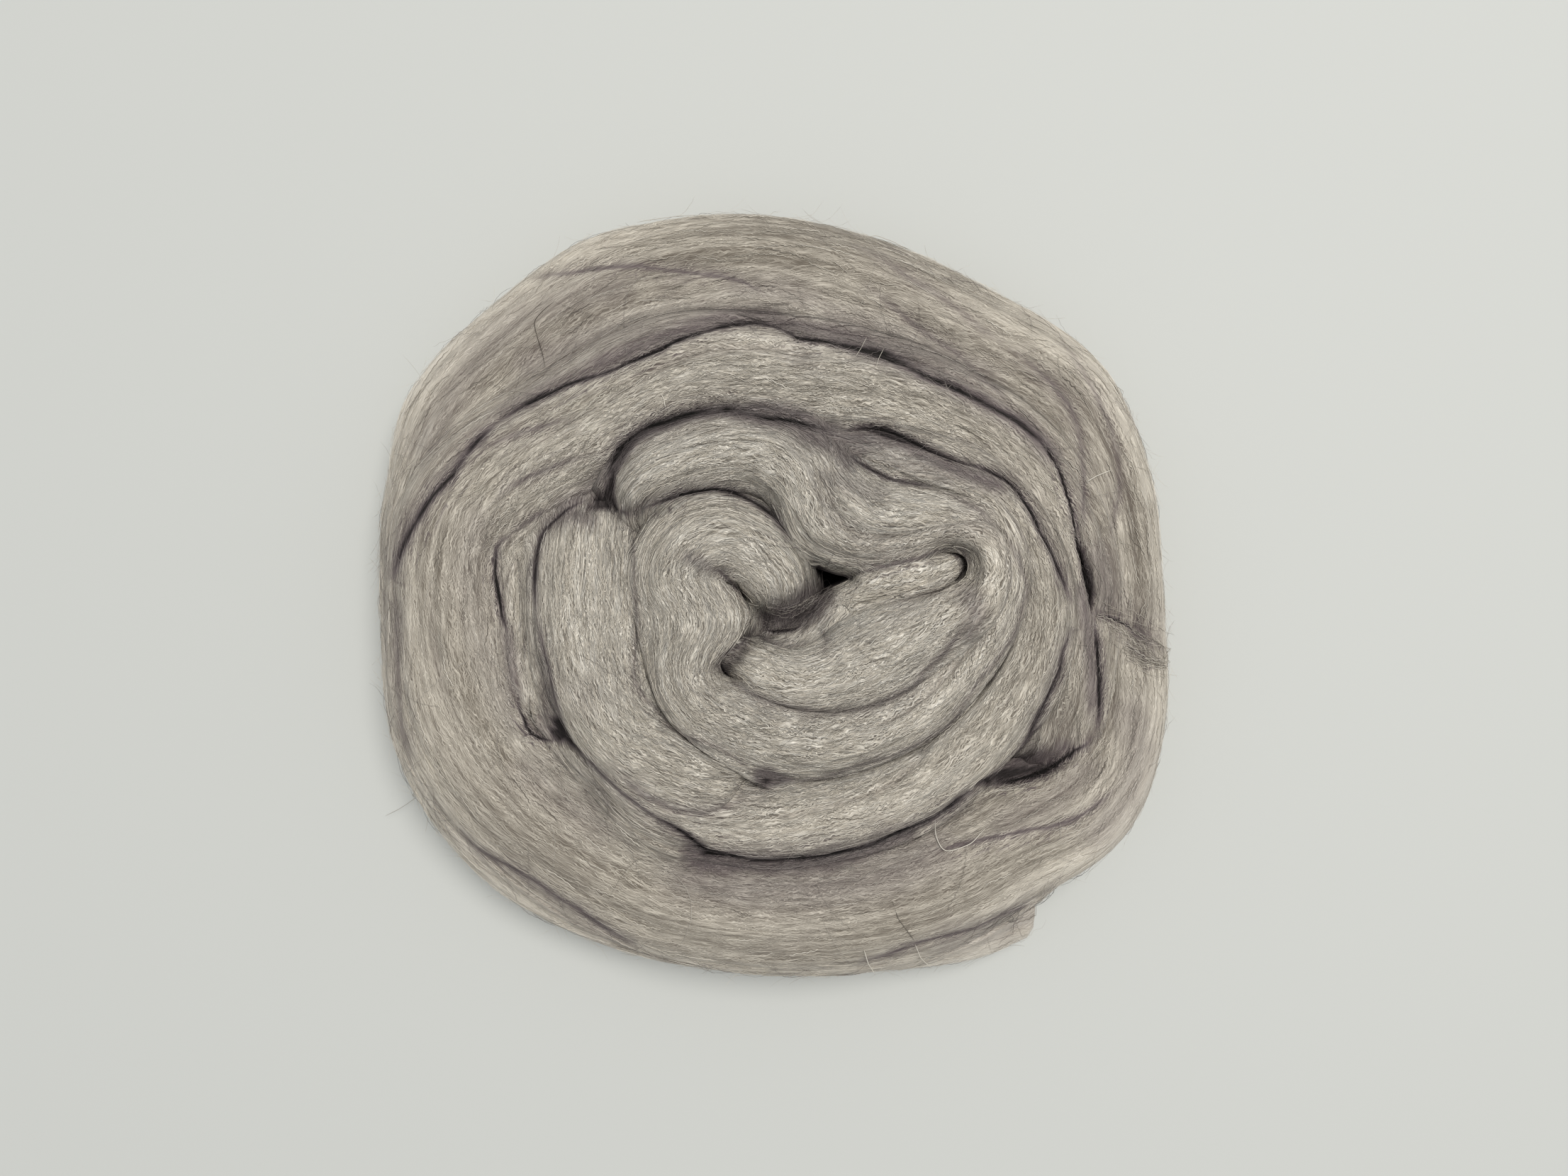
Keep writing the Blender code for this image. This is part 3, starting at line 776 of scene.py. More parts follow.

# the outer turns' fibres show less: radii in millimetres, and what the look is times inside and outside.
# The middle is painted paler, as if more lit, and the rim is painted paler as the light at its edge
calm = {
    "inner": 50.0,
    "outer": 110.0,
    "most": 1.25,
    "least": 0.5,
    "toneAndPaintedLight": 0.45,
    "base": -0.02,
    "rimInner": 120.0,
    "rimOuter": 138.0,
    "rimPaintedLight": 0.36,
    "width": (0.55, 0.4),
}


def calmness(radius):
    share = np.clip((radius - calm["inner"]) / (calm["outer"] - calm["inner"]), 0, 1)
    return calm["most"] + (calm["least"] - calm["most"]) * share


def sampleGrid(grid, i, j):
    rows, columns = grid.shape[0] - 1, grid.shape[1] - 1
    i, j = np.clip(i, 0, rows - 1e-4), np.mod(j, columns)
    i0, j0 = i.astype(int), np.minimum(j.astype(int), columns - 1)
    fi, fj = i - i0, j - j0
    if grid.ndim == 3:
        fi, fj = fi[..., None], fj[..., None]
    near = grid[i0, j0] * (1 - fj) + grid[i0, j0 + 1] * fj
    far = grid[i0 + 1, j0] * (1 - fj) + grid[i0 + 1, j0 + 1] * fj
    return near * (1 - fi) + far * fi


def crimp(random, s, count):  # how far a fibre strays to one side along its length
    height = random.uniform(*fibreLook["crimpHeight"], (count, 1))
    length = random.uniform(*fibreLook["crimpLength"], (count, 1))
    start = random.uniform(0, 2 * math.pi, (count, 1))
    wave = height * np.sin(2 * math.pi * s / length + start)
    return wave + fibreLook["jitter"] * random.normal(0, 1, s.shape)


def layFibres(surface, random, count, weight, look):
    t = np.linspace(0, 1, fibreLook["lengths"] + 1)[None, :]
    stepAlong = surface["along"][1, 0] - surface["along"][0, 0]
    chance = weight[:-1, :-1].ravel()
    picked = random.choice(len(chance), count, p=chance / chance.sum())
    i0, j0 = np.divmod(picked, weight.shape[1] - 1)
    cellWidth = np.abs(surface["across"][i0, j0 + 1] - surface["across"][i0, j0])[:, None]
    i0, j0 = i0[:, None] + random.uniform(0, 1, (count, 1)), j0[:, None] + random.uniform(0, 1, (count, 1))
    turn = np.radians(random.normal(0, look["turnSpread"], (count, 1)))
    s = random.uniform(*fibreLook["reach"], (count, 1)) * (t - 0.5) * random.choice((-1.0, 1.0), (count, 1))
    bend = random.normal(0, fibreLook["bend"] * look["curl"], (count, 1))
    across = s * np.sin(turn) + bend * s**2 + crimp(random, s, count) * look["curl"]
    i, j = i0 + s * np.cos(turn) / stepAlong, j0 + across / np.maximum(cellWidth, 0.2)
    points, normals = sampleGrid(surface["points"], i, j), sampleGrid(surface["normal"], i, j)
    lift = random.uniform(*fibreLook["lift"], (count, 1))
    lift = lift + random.exponential(look["standing"], (count, 1)) * t**3
    lift = lift - random.uniform(*fibreLook["rooted"], (count, 1)) * (1 - t) ** 4
    clear = sampleGrid(surface["clear"], i, j)
    kept = (clear.min(axis=1) > -1.5) & (i.min(axis=1) > 0) & (i.max(axis=1) < weight.shape[0] - 1)
    lines = [(sampleGrid(place, i, j), sampleGrid(strength, i, j)) for place, strength in surface["lines"]]
    # each fibre takes the painted shade of the wool under it
    shade = np.maximum(sampleGrid(surface["shade"], i, j), fibreLook["underLine"] * lineShade(lines))
    return (points + normals * lift[..., None])[kept], normals[kept], shade[kept]


def fibreMesh(name, paths, normals, shade, widths, tones):
    count, rings = paths.shape[:2]
    ahead = unit(np.gradient(paths, axis=1))
    side = unit(np.cross(ahead, normals))
    over = np.cross(side, ahead)
    t = np.linspace(0, 1, rings)
    taper = np.clip(np.minimum(t, 1 - t) * 7, 0, 1) ** 0.6
    half = (widths[:, None] / 2 * taper[None, :])[..., None]
    corners = ((-1.0, 0.0), (0.0, 1.1), (1.0, 0.0), (-1.0, 0.0))
    tube = np.stack([paths + (side * a + over * b) * half for a, b in corners], axis=2)
    tube[..., 2] = np.maximum(tube[..., 2], 0.02)
    tube = tube.reshape(count * rings, 4, 3)
    dark = np.repeat(shade.reshape(-1, 1), 4, axis=1)
    tone = np.repeat(np.repeat(tones, rings)[:, None], 4, axis=1)
    return gridMesh(name, tube, None, {"shade": dark, "tone": tone}, tubeRings=rings)


def hairFacts(random, count):  # widths and tones, most of them pale and a few darker
    widths = random.uniform(*fibreLook["width"], count)
    dark = random.uniform(0, 1, count) < fibreLook["darkShare"]
    return widths, np.where(dark, random.uniform(*fibreLook["darkTones"], count), random.beta(5, 3, count))


def addFibres(name, paths, normals, shade, random, material, thinness=1.0):
    widths, tones = hairFacts(random, len(paths))
    middles = np.linalg.norm(paths[:, paths.shape[1] // 2, :2], axis=1)
    calmer = calmness(middles)
    # painted light: tones paler towards the middle, as if more lit, and paler again at the rim
    rim = np.clip((middles - calm["rimInner"]) / (calm["rimOuter"] - calm["rimInner"]), 0, 1)
    tones = (tones - 0.5) * calmer + calmer * calm["toneAndPaintedLight"] + calm["base"] + rim * calm["rimPaintedLight"]
    widths = widths * (calm["width"][0] + calm["width"][1] * calmer) * thinness
    order = random.permutation(len(paths))  # widths and tones fall on the fibres in mixed order
    paths, normals, shade = paths[order], normals[order], shade[order]
    pieces = -(-len(paths) // fibreLook["perPiece"])
    for number, part in enumerate(np.array_split(np.arange(len(paths)), pieces)):
        pieceName = f"{name}_{number + 1}"
        parts = (values[part] for values in (paths, normals, shade, widths, tones))
        data = fibreMesh(pieceName, *parts)
        addPiece(pieceName, data, material)
        print("stage:", pieceName, len(part), "fibres,", len(data.polygons), "faces")


surfaceHairs = {
    "seed": 401,
    "count": 4700,
    "spare": 1.04,  # a few are dropped where bands meet
    "turnSpread": 9,  # in degrees, from the way the wool runs
    "standing": 0.12,
    "curl": 1.0,
}


def surfaceFibres(surfaces, material):
    random = np.random.default_rng(surfaceHairs["seed"])
    gathered, weights = [], []
    for surface in surfaces.values():
        points = surface["points"]
        cells = np.linalg.norm(np.cross(np.gradient(points, axis=0), np.gradient(points, axis=1)), axis=2)
        seen = np.clip(surface["normal"][..., 2] + 0.5, 0.0, 1)
        denser = calmness(np.linalg.norm(points[..., :2], axis=2))
        weights.append(cells * seen * denser * (surface["clear"] > -0.8))
    total = sum(weight.sum() for weight in weights)
    for surface, weight in zip(surfaces.values(), weights):
        count = round(surfaceHairs["count"] * surfaceHairs["spare"] * weight.sum() / total)
        gathered.append(layFibres(surface, random, count, weight, surfaceHairs))
    joined = [np.concatenate(parts) for parts in zip(*gathered)]
    addFibres("surface_fibres", *joined, random, material)


fringe = {"seed": 402, "count": 1250, "turnSpread": 28, "standing": 1.6, "curl": 2.2, "thinness": 0.55}


def fringeFibres(surface, material):  # they stand out from the outer side, where the outline is
    random = np.random.default_rng(fringe["seed"])
    points, normal = surface["points"], surface["normal"]
    fromMiddle = np.maximum(np.linalg.norm(points[..., :2], axis=-1), 1)
    outside = (points[..., :2] * normal[..., :2]).sum(-1) / fromMiddle
    weight = np.clip(outside - 0.35, 0, 1) * (surface["clear"] > 1) * (points[..., 2] > 1.5)
    weight = weight * np.clip(normal[..., 2] + 0.6, 0, 1)
    laid = layFibres(surface, random, fringe["count"], weight, fringe)
    addFibres("fringe", *laid, random, material, thinness=fringe["thinness"])


mapSize = 140  # the maps reach this far each way from the middle, in steps of 1 mm


def heightMap(surfaces):  # the height of the bundle on a 1 mm grid, and which way its fibres run
    corners, quads, ways = [], [], []
    done = 0
    for surface in surfaces.values():
        rings, around = surface["points"].shape[:2]
        corners.append(surface["points"].reshape(-1, 3))
        ways.append(np.gradient(surface["points"], axis=0).reshape(-1, 3))
        index = np.arange(rings * around).reshape(rings, around) + done
        ring = (index[:-1, :-1], index[1:, :-1], index[1:, 1:], index[:-1, 1:])
        quads.append(np.stack(ring, -1).reshape(-1, 4))
        done += rings * around
    corners, quads, ways = np.concatenate(corners), np.concatenate(quads), np.concatenate(ways)
    tree = BVHTree.FromPolygons(corners.tolist(), quads.tolist())
    side = 2 * mapSize + 1
    height, way = np.zeros((side, side)), np.zeros((side, side, 2))
    way[..., 0] = 1
    for i in range(side):
        for j in range(side):
            above = Vector((i - mapSize, j - mapSize, 200.0))
            place, normal, face, distance = tree.ray_cast(above, Vector((0, 0, -1)))
            if place is not None:
                height[i, j] = place.z
                way[i, j] = ways[quads[face][0]][:2]
    return height, way


def spreadMost(values, reach):  # the highest value within reach of every place
    for axis in (0, 1):
        values = np.max([np.roll(values, k, axis) for k in range(-reach, reach + 1)], axis=0)
    return values


def soften(values, times):
    for _ in range(times):
        for axis in (0, 1):
            values = (np.roll(values, 1, axis) + 2 * values + np.roll(values, -1, axis)) / 4
    return values


def readMap(values, x, y):
    most = 2 * mapSize - 1e-3
    x, y = np.clip(x + mapSize, 0, most), np.clip(y + mapSize, 0, most)
    i, j = x.astype(int), y.astype(int)
    fx, fy = x - i, y - j
    near = values[i, j] * (1 - fx) + values[i + 1, j] * fx
    return near * (1 - fy) + (values[i, j + 1] * (1 - fx) + values[i + 1, j + 1] * fx) * fy


webLook = {
    "share": (0.35, 1.0),  # how far up towards the bridge between two folds a hair lies
    "endShare": 0.35,  # how much of that its ends do
    "lift": 0.15,
    "bend": 0.02,
    "lowest": 14.0,  # none hangs down the outer side
    "shade": (0.25, 6.0, 0.8),  # painted shade on the hairs over a gap: the least, over how many millimetres it deepens, the most
}


def layWeb(random, weight, maps, look):  # hairs that bridge the folds, from the maps of the bundle
    count, t = look["count"], np.linspace(0, 1, look["lengths"] + 1)[None, :]
    picked = random.choice(weight.size, count, p=(weight / weight.sum()).ravel())
    i, j = np.divmod(picked, weight.shape[1])
    x0 = (i - mapSize + random.uniform(-0.5, 0.5, count))[:, None]
    y0 = (j - mapSize + random.uniform(-0.5, 0.5, count))[:, None]
    way = maps["way"][i, j]
    heading = np.arctan2(way[:, 1], way[:, 0])[:, None]
    heading = heading + np.radians(random.normal(0, look["turnSpread"], (count, 1)))
    s = random.uniform(*look["reach"], (count, 1)) * (t - 0.5)
    bent = random.normal(0, webLook["bend"], (count, 1)) * s**2 + crimp(random, s, count)
    x = x0 + s * np.cos(heading) - bent * np.sin(heading)
    y = y0 + s * np.sin(heading) + bent * np.cos(heading)
    floor, roof = readMap(maps["height"], x, y), readMap(maps["bridge"], x, y)
    share = random.uniform(*webLook["share"], (count, 1))
    arch, ends = np.sin(math.pi * t), webLook["endShare"]
    z = floor + (roof - floor) * share * (ends + (1 - ends) * arch) + webLook["lift"] + look["rise"] * arch
    paths = np.stack((x, y, z), axis=-1)
    least, deepens, most = webLook["shade"]
    shade = np.clip(least + (roof - floor - 1.0) / deepens, 0, most)
    kept = floor.min(axis=1) > webLook["lowest"]
    return paths[kept], np.broadcast_to(up, paths.shape)[kept], shade[kept]


web = {
    "seed": 403,
    "count": 1000,
    "lengths": 16,
    "reach": (7, 12),
    "turnSpread": 32,
    "rise": 0.2,
    "thinness": 0.5,
}


def webFibres(maps, material):
    random = np.random.default_rng(web["seed"])
    height, bridge = maps["height"], maps["bridge"]
    hollow = np.clip(bridge - height - 1.0, 0, 5) * (height > 12)
    addFibres("web", *layWeb(random, hollow, maps, web), random, material, thinness=web["thinness"])


def layOver(seen, bridge):  # a line over the bundle where the lens sees it
    z = np.full(len(seen), 40.0)
    for _ in range(3):
        place = lens[:2] + (seen - lens[:2]) * (1 - z / lens[2])[:, None] - middle[:2]
        z = np.maximum(readMap(bridge, place[:, 0], place[:, 1]) - 0.4, 3.0)
    return np.column_stack((place, smoothAlong(z, 6) + 0.3))


# loose locks that cross the folds
tuftLook = {
    "seed": 405,
    "lengths": 16,
    "reach": (8, 13),
    "overhang": 4,  # how far past a lock's end a hair may start
    "shortest": 5,
    "slant": 0.08,
    "lift": (0.1, 0.5),
    "sink": 0.65,  # how far they follow the hollows instead of bridging them
    "shadeShare": (0.3, 1.6),
    "thinness": 0.62,
    # how many hairs, how far they spread, how dark their painted shade is, then x, y along the lock
    "locks": [
        (80, 2.6, 0.05, [
            (113, -8), (118, -9.5), (122, -11.5), (126, -14), (130, -16.5), (134, -19), (138, -21),
        ]),
        (45, 1.8, 0.05, [(122, -19), (126, -21), (130, -23), (134, -24), (138, -24)]),
        (50, 2.5, 0.45, [(-6, -9), (0, -10), (6, -9.5), (12, -6), (17, 0), (20, 3)]),
        (30, 2.0, 0.4, [(-4, -5), (3, -6), (9, -4), (14, 0)]),
    ],
}


def tuftFibres(maps, material):
    random = np.random.default_rng(tuftLook["seed"])
    paths, shades = [], []
    count = tuftLook["lengths"] + 1
    floor = maps["bridge"] * (1 - tuftLook["sink"]) + maps["height"] * tuftLook["sink"]
    for hairs, spread, darkness, line in tuftLook["locks"]:
        most = distances(line)[-1]
        for _ in range(hairs):
            start = random.uniform(-tuftLook["overhang"], most - tuftLook["overhang"])
            length = random.uniform(*tuftLook["reach"])
            even = np.clip(start + np.linspace(0, length, count), 0, most)
            seen = placesAlong(line, even)
            ahead = unit(np.gradient(seen, axis=0))
            slant = random.normal(0, spread), random.normal(0, tuftLook["slant"])
            offset = slant[0] + slant[1] * np.linspace(-1, 1, count) * length
            stray = offset + crimp(random, np.linspace(0, length, count)[None, :], 1)[0]
            seen = seen + np.column_stack((-ahead[:, 1], ahead[:, 0])) * stray[:, None]
            if even[-1] - even[0] < tuftLook["shortest"]:
                continue
            path = layOver(seen, floor)
            path[:, 2] += random.uniform(*tuftLook["lift"])
            paths.append(path)
            shades.append(np.full(count, darkness * random.uniform(*tuftLook["shadeShare"])))
    paths = np.array(paths)
    normals = np.broadcast_to(up, paths.shape)
    addFibres("tufts", paths, normals, np.array(shades), random, material, thinness=tuftLook["thinness"])


# single hairs that stand out: width, tone, then x, y along each, as the lens sees them
strays = [
    (0.22, 0.02, [(-78, 103.5), (-82, 100.5), (-85.5, 96.5), (-84.5, 92), (-82.5, 86), (-81.3, 80)]),
    (0.32, 1.0, [
        (56, -79), (56, -84), (57.5, -88), (59.5, -90.5), (64, -89.5), (69, -87.5), (72, -84), (74, -82),
    ]),
    (0.3, 1.0, [(109.5, 40), (113, 42), (118, 44)]),
    (0.3, 0.9, [(31, -125), (32.5, -130), (35, -134)]),
    (0.26, 0.1, [(41, -108), (43, -114), (46, -118), (49, -122)]),
    (0.26, 0.9, [(49, -123), (51, -128), (55, -132)]),
    (0.3, 1.0, [(-40.5, 71), (-39.5, 69), (-39, 66)]),
    (0.16, 0.7, [(32, 91), (30, 87), (28, 84)]),
    (0.16, 0.7, [(38, 87), (36, 83), (35, 79)]),
    (0.18, 0.55, [(31, 126), (36, 127.5), (41, 125.5), (45, 123), (50, 124), (54, 122.5), (52, 120)]),
    (0.16, 0.5, [(-50, 132.5), (-42, 133), (-34, 134), (-26, 134), (-20, 132)]),
    (0.16, 0.4, [(-141, 22), (-139, 30), (-136, 36), (-139, 42)]),
    (0.18, 0.7, [(-28, -44), (-22, -42), (-15, -42), (-9, -39)]),
    (0.26, 1.0, [(-36, 6), (-33, 5), (-31, 7)]),
    (0.14, 0.3, [(-138, -78), (-132, -75), (-128, -70), (-126, -66)]),
    (0.14, 0.4, [(117, 76), (121, 73), (127, 71)]),
    (0.14, 0.4, [(136, -20), (139, -24), (142, -23)]),
    (0.14, 0.35, [(-134, 6), (-139, 2), (-142, -3), (-140, -9)]),
]

longStrays = {
    "seed": 404,
    "count": 200,
    "lengths": 36,
    "reach": (14, 34),
    "turnSpread": 38,
    "rise": 0.5,
    "thinness": 0.5,
    "above": 20,  # they lie only where the bundle is higher than this
}


def strayFibres(maps, material):
    paths = []
    for width, tone, line in strays:
        even = np.linspace(0, distances(line)[-1], longStrays["lengths"] + 1)
        paths.append(layOver(smoothAlong(placesAlong(line, even), 5), maps["bridge"]))
    paths = np.array(paths)
    widths, tones = (np.array([row[column] for row in strays]) for column in (0, 1))
    normals = np.broadcast_to(up, paths.shape)
    data = fibreMesh("stray_fibres", paths, normals, np.zeros(paths.shape[:2]), widths, tones)
    addPiece("stray_fibres", data, material)
    random = np.random.default_rng(longStrays["seed"])
    weight = (maps["height"] > longStrays["above"]) * 1.0
    laid = layWeb(random, weight, maps, longStrays)
    addFibres("long_strays", *laid, random, material, thinness=longStrays["thinness"])


woolLook = {
    "dark": (0.155, 0.132, 0.104, 1),
    "mid": (0.60, 0.546, 0.455, 1),
    "light": (0.87, 0.815, 0.71, 1),
    "shaded": (0.105, 0.08, 0.09, 1),  # painted shade: a partly shaded place is painted faintly purple
    # painted deep shade, nearly black, for the creases and gaps
    "hollow": (0.018, 0.016, 0.015, 1),
    "hairDark": (0.075, 0.062, 0.05, 1),
    "hairMid": (0.58, 0.53, 0.445, 1),
    "hairLight": (0.78, 0.73, 0.635, 1),
    "roughness": 0.9,
    "hairRoughness": 0.6,
    "specular": 0.1,
    "sheen": 0.15,
    "bump": 0.00045,  # in metres
    # of a UV unit, which is 100 mm
    "crimpLength": 0.026,
    "crimpHeight": 0.0015,
    "pitch": 0.0026,
    # patches of soft noise: how many to a unit along and across, then how much each changes what it acts on
    "fibres": (12.0, 1.0, 2.7),  # across, one to a pitch
    "wander": (1.7, 7.0, 0.06),
    "veer": (14.0, 26.0, 0.014),
    "phase": (7.0, 48.0, 16.0),
    "drift": (3.0, 8.0, 0.05),
    "locks": (1.6, 62.0, 0.5),
    "broad": (1.2, 16.0, 0.35),
    "fibreMiddle": 0.56,
}


def nodeTools(tree):
    def make(kind, **settings):
        made = tree.nodes.new(kind)
        for key, value in settings.items():
            setattr(made, key, value)
        return made

    def feed(socket, value):
        if isinstance(value, bpy.types.NodeSocket):
            tree.links.new(value, socket)
        elif value is not None:
            socket.default_value = value

    def fed(kind, *values, **settings):  # a node with its first sockets fed
        made = make(kind, **settings)
        for socket, value in zip(made.inputs, values):
            feed(socket, value)
        return made.outputs[0]

    def calc(operation, *values):
        return fed("ShaderNodeMath", *values, operation=operation)

    def attribute(name):
        return make("ShaderNodeAttribute", attribute_name=name).outputs["Fac"]

    def patches(name, x, y, number, detail=0.0):  # soft noise between 0 and 1
        made = make("ShaderNodeTexNoise")
        along, across = woolLook[name][:2]
        place = fed("ShaderNodeCombineXYZ", calc("MULTIPLY", x, along), calc("MULTIPLY", y, across), number)
        feed(made.inputs["Vector"], place)
        feed(made.inputs["Scale"], 1.0)
        feed(made.inputs["Detail"], detail)
        return made.outputs["Fac"]

    def ramp(value, *colours):  # three colours, evenly spaced
        made = make("ShaderNodeValToRGB")
        feed(made.inputs[0], value)
        points = made.color_ramp.elements
        points.new(0.5)
        for point, place, colour in zip(points, (0.0, 0.5, 1.0), colours):
            point.position = place
            point.color = colour
        return made.outputs[0]

    def mix(share, first, second):
        made = make("ShaderNodeMix", data_type="RGBA")
        for number, value in ((0, share), (6, first), (7, second)):
            feed(made.inputs[number], value)
        return made.outputs[2]

    def paintShade(shade, colour):  # painted shade: from the wool's colour through faint purple to nearly black
        deep = calc("MULTIPLY_ADD", shade, 2.5, -1.25)
        deep.node.use_clamp = True
        share = calc("SUBTRACT", 1.0, calc("POWER", calc("SUBTRACT", 1.0, shade), 2.0))
        return mix(share, colour, mix(deep, woolLook["shaded"], woolLook["hollow"]))

    return make, fed, calc, patches, attribute, feed, ramp, paintShade


def startMaterial(name, roughness):
    material = bpy.data.materials.new(name)
    material.use_nodes = True
    shader = material.node_tree.nodes["Principled BSDF"]
    shader.inputs["Roughness"].default_value = roughness
    shader.inputs["Specular IOR Level"].default_value = woolLook["specular"]
    return material, shader, nodeTools(material.node_tree)


def woolMaterial():
    material, shader, tools = startMaterial("combed_wool", woolLook["roughness"])
    make, fed, calc, patches, attribute, feed, ramp, paintShade = tools
    split = make("ShaderNodeSeparateXYZ")
    feed(split.inputs[0], make("ShaderNodeUVMap", uv_map="fibres").outputs[0])
    u, v = split.outputs[0], split.outputs[1]

    def fibreLines(slope, number):  # one family of crimped fibres
        lane = calc("MULTIPLY_ADD", u, slope, v)
        lane = calc("MULTIPLY_ADD", patches("wander", u, v, number), woolLook["wander"][2], lane)
        veer = patches("veer", u, lane, number + 2)
        lane = calc("MULTIPLY_ADD", veer, woolLook["veer"][2], lane)
        phase = calc("MULTIPLY", patches("phase", u, lane, number + 3), woolLook["phase"][2])
        turn = calc("MULTIPLY_ADD", u, 2 * math.pi / woolLook["crimpLength"], phase)
        crimped = calc("MULTIPLY", calc("MULTIPLY_ADD", veer, 3.0, -0.8), woolLook["crimpHeight"])
        waved = calc("MULTIPLY_ADD", calc("SINE", turn), crimped, lane)
        return patches("fibres", u, calc("DIVIDE", waved, woolLook["pitch"]), number + 6, detail=1.0)

    lines = calc("MAXIMUM", fibreLines(0.08, 0.0), fibreLines(-0.18, 20.0))
    drifted = calc("MULTIPLY_ADD", patches("drift", u, v, 2.0), woolLook["drift"][2], v)
    locks = patches("locks", u, drifted, 5.0, detail=2.0)
    broad = patches("broad", u, v, 9.0)
    place = make("ShaderNodeTexCoord").outputs["Object"]
    flat = make("ShaderNodeVectorMath", operation="MULTIPLY")
    feed(flat.inputs[0], place)
    flat.inputs[1].default_value = (1, 1, 0)
    length = make("ShaderNodeVectorMath", operation="LENGTH")
    feed(length.inputs[0], flat.outputs[0])
    radius = length.outputs["Value"]
    inner, outer = calm["inner"] * mm, calm["outer"] * mm
    calmer = fed("ShaderNodeMapRange", radius, inner, outer, calm["most"], calm["least"])
    # painted light: the rim is painted paler, as the light at its edge
    inner, outer = calm["rimInner"] * mm, calm["rimOuter"] * mm
    rim = fed("ShaderNodeMapRange", radius, inner, outer, calm["base"], calm["base"] + calm["rimPaintedLight"])
    offMiddle = calc("SUBTRACT", lines, woolLook["fibreMiddle"])
    # the wool's tone, painted paler towards the middle as if more lit
    tone = calc("MULTIPLY_ADD", calmer, calm["toneAndPaintedLight"], rim)
    tone = calc("MULTIPLY_ADD", offMiddle, calc("MULTIPLY", calmer, woolLook["fibres"][2]), tone)
    tone = calc("MULTIPLY_ADD", calc("SUBTRACT", locks, 0.5), woolLook["locks"][2], tone)
    tone = calc("MULTIPLY_ADD", calc("SUBTRACT", broad, 0.5), woolLook["broad"][2], tone)
    # painted shade, and the painted dark lines of each layer
    shade = attribute("shade")
    ragged = calc("MAXIMUM", calc("MULTIPLY_ADD", offMiddle, 5.0, 1.0), 0.4)  # fibres fray the painted dark lines
    for number in range(creaseLook["layers"]):
        place = calc("MULTIPLY", calc("ABSOLUTE", attribute(f"line_{number}")), ragged)
        core = calc("EXPONENT", calc("MULTIPLY", calc("POWER", place, 1.5), -1.0))
        shade = calc("MAXIMUM", shade, calc("MULTIPLY", core, attribute(f"strength_{number}")))
    colour = ramp(tone, woolLook["dark"], woolLook["mid"], woolLook["light"])
    feed(shader.inputs["Base Color"], paintShade(shade, colour))
    bump = make("ShaderNodeBump")
    bump.inputs["Strength"].default_value = 1.0
    feed(bump.inputs["Distance"], calc("MULTIPLY", calc("POWER", calmer, 2.0), woolLook["bump"]))
    feed(bump.inputs["Height"], calc("MULTIPLY_ADD", lines, 3.0, locks))
    feed(shader.inputs["Normal"], bump.outputs[0])
    unshaded = calc("POWER", calc("SUBTRACT", 1.0, shade), 3.0)
    feed(shader.inputs["Sheen Weight"], calc("MULTIPLY", unshaded, woolLook["sheen"]))
    shader.inputs["Sheen Roughness"].default_value = 0.5
    return material


def hairMaterial():
    material, shader, tools = startMaterial("single_fibres", woolLook["hairRoughness"])
    *_, attribute, feed, ramp, paintShade = tools
    colour = ramp(attribute("tone"), woolLook["hairDark"], woolLook["hairMid"], woolLook["hairLight"])
    feed(shader.inputs["Base Color"], paintShade(attribute("shade"), colour))
    return material


outerCoil = {
    "name": "outer_coil",
    "seed": 11,
    "step": 3.0,
    "around": 136,
    "startRound": 6,
    # x, y, radius, then how far the wool there leans out
    "pushes": [
        (-128, 68, 20, -2.6, 1.1), (-114, 92, 20, -2.1, 1.9), (-92, 110, 20, -1.7, 2.2),
        (-66, 121, 20, -0.9, 2.4),
    ],
    "rows": [
        (90, -104, 15, 21, 14),
        (80, -105, 17, 26, 16),
        (58, -110, 22, 30, 21),
        (19, -111, 26, 30, 26),
        (-24, -110, 26, 30, 26),
        (-58, -102, 26, 30, 26),
        (-88, -84, 28, 30, 28),
        (-110, -51, 29, 30, 29),
        (-116, -10, 30, 30, 30),
        (-115, 27, 31, 32, 32),
        (-104, 56, 32, 38, 33),
        (-77, 80, 34, 44, 35),
        (-46, 99, 35, 46, 36),
        (-11, 106, 36, 43, 37),
        (26, 99, 37, 42, 38),
        (61, 84, 37, 40, 38),
        (94, 65, 37, 37, 38),
        (111, 35, 36, 30, 37),
        (116, 4, 34, 27, 36),
        (117, -15, 35, 27, 37),
        (117, -41, 36, 25, 37),
        (103, -67, 36, 37, 37),
        (78, -80, 38, 45, 37),
        (46, -94, 39, 52, 39),
        (5, -99, 39, 53, 39),
        (-36, -92, 39, 53, 39),
        (-71, -71, 40, 53, 40),
        (-96, -41, 41, 51, 41),
        (-104, -6, 43, 45, 43),
        (-101, 21, 45, 44, 44),
        (-84, 40, 47, 45, 44),
        (-60, 55, 48, 42, 42),
        (-28, 71, 49, 38, 42),
        (8, 70, 49, 37, 42),
        (40, 65, 49, 32, 40),
        (70, 52, 47, 27, 36),
        (90, 32, 44, 25, 34),
        (100, 8, 41, 21, 32),
        (99, -20, 40, 20, 32),
        (95, -40, 38, 24, 32),
        (93, -52, 30, 24, 28),
        (90, -64, 18, 24, 18),
    ],
}

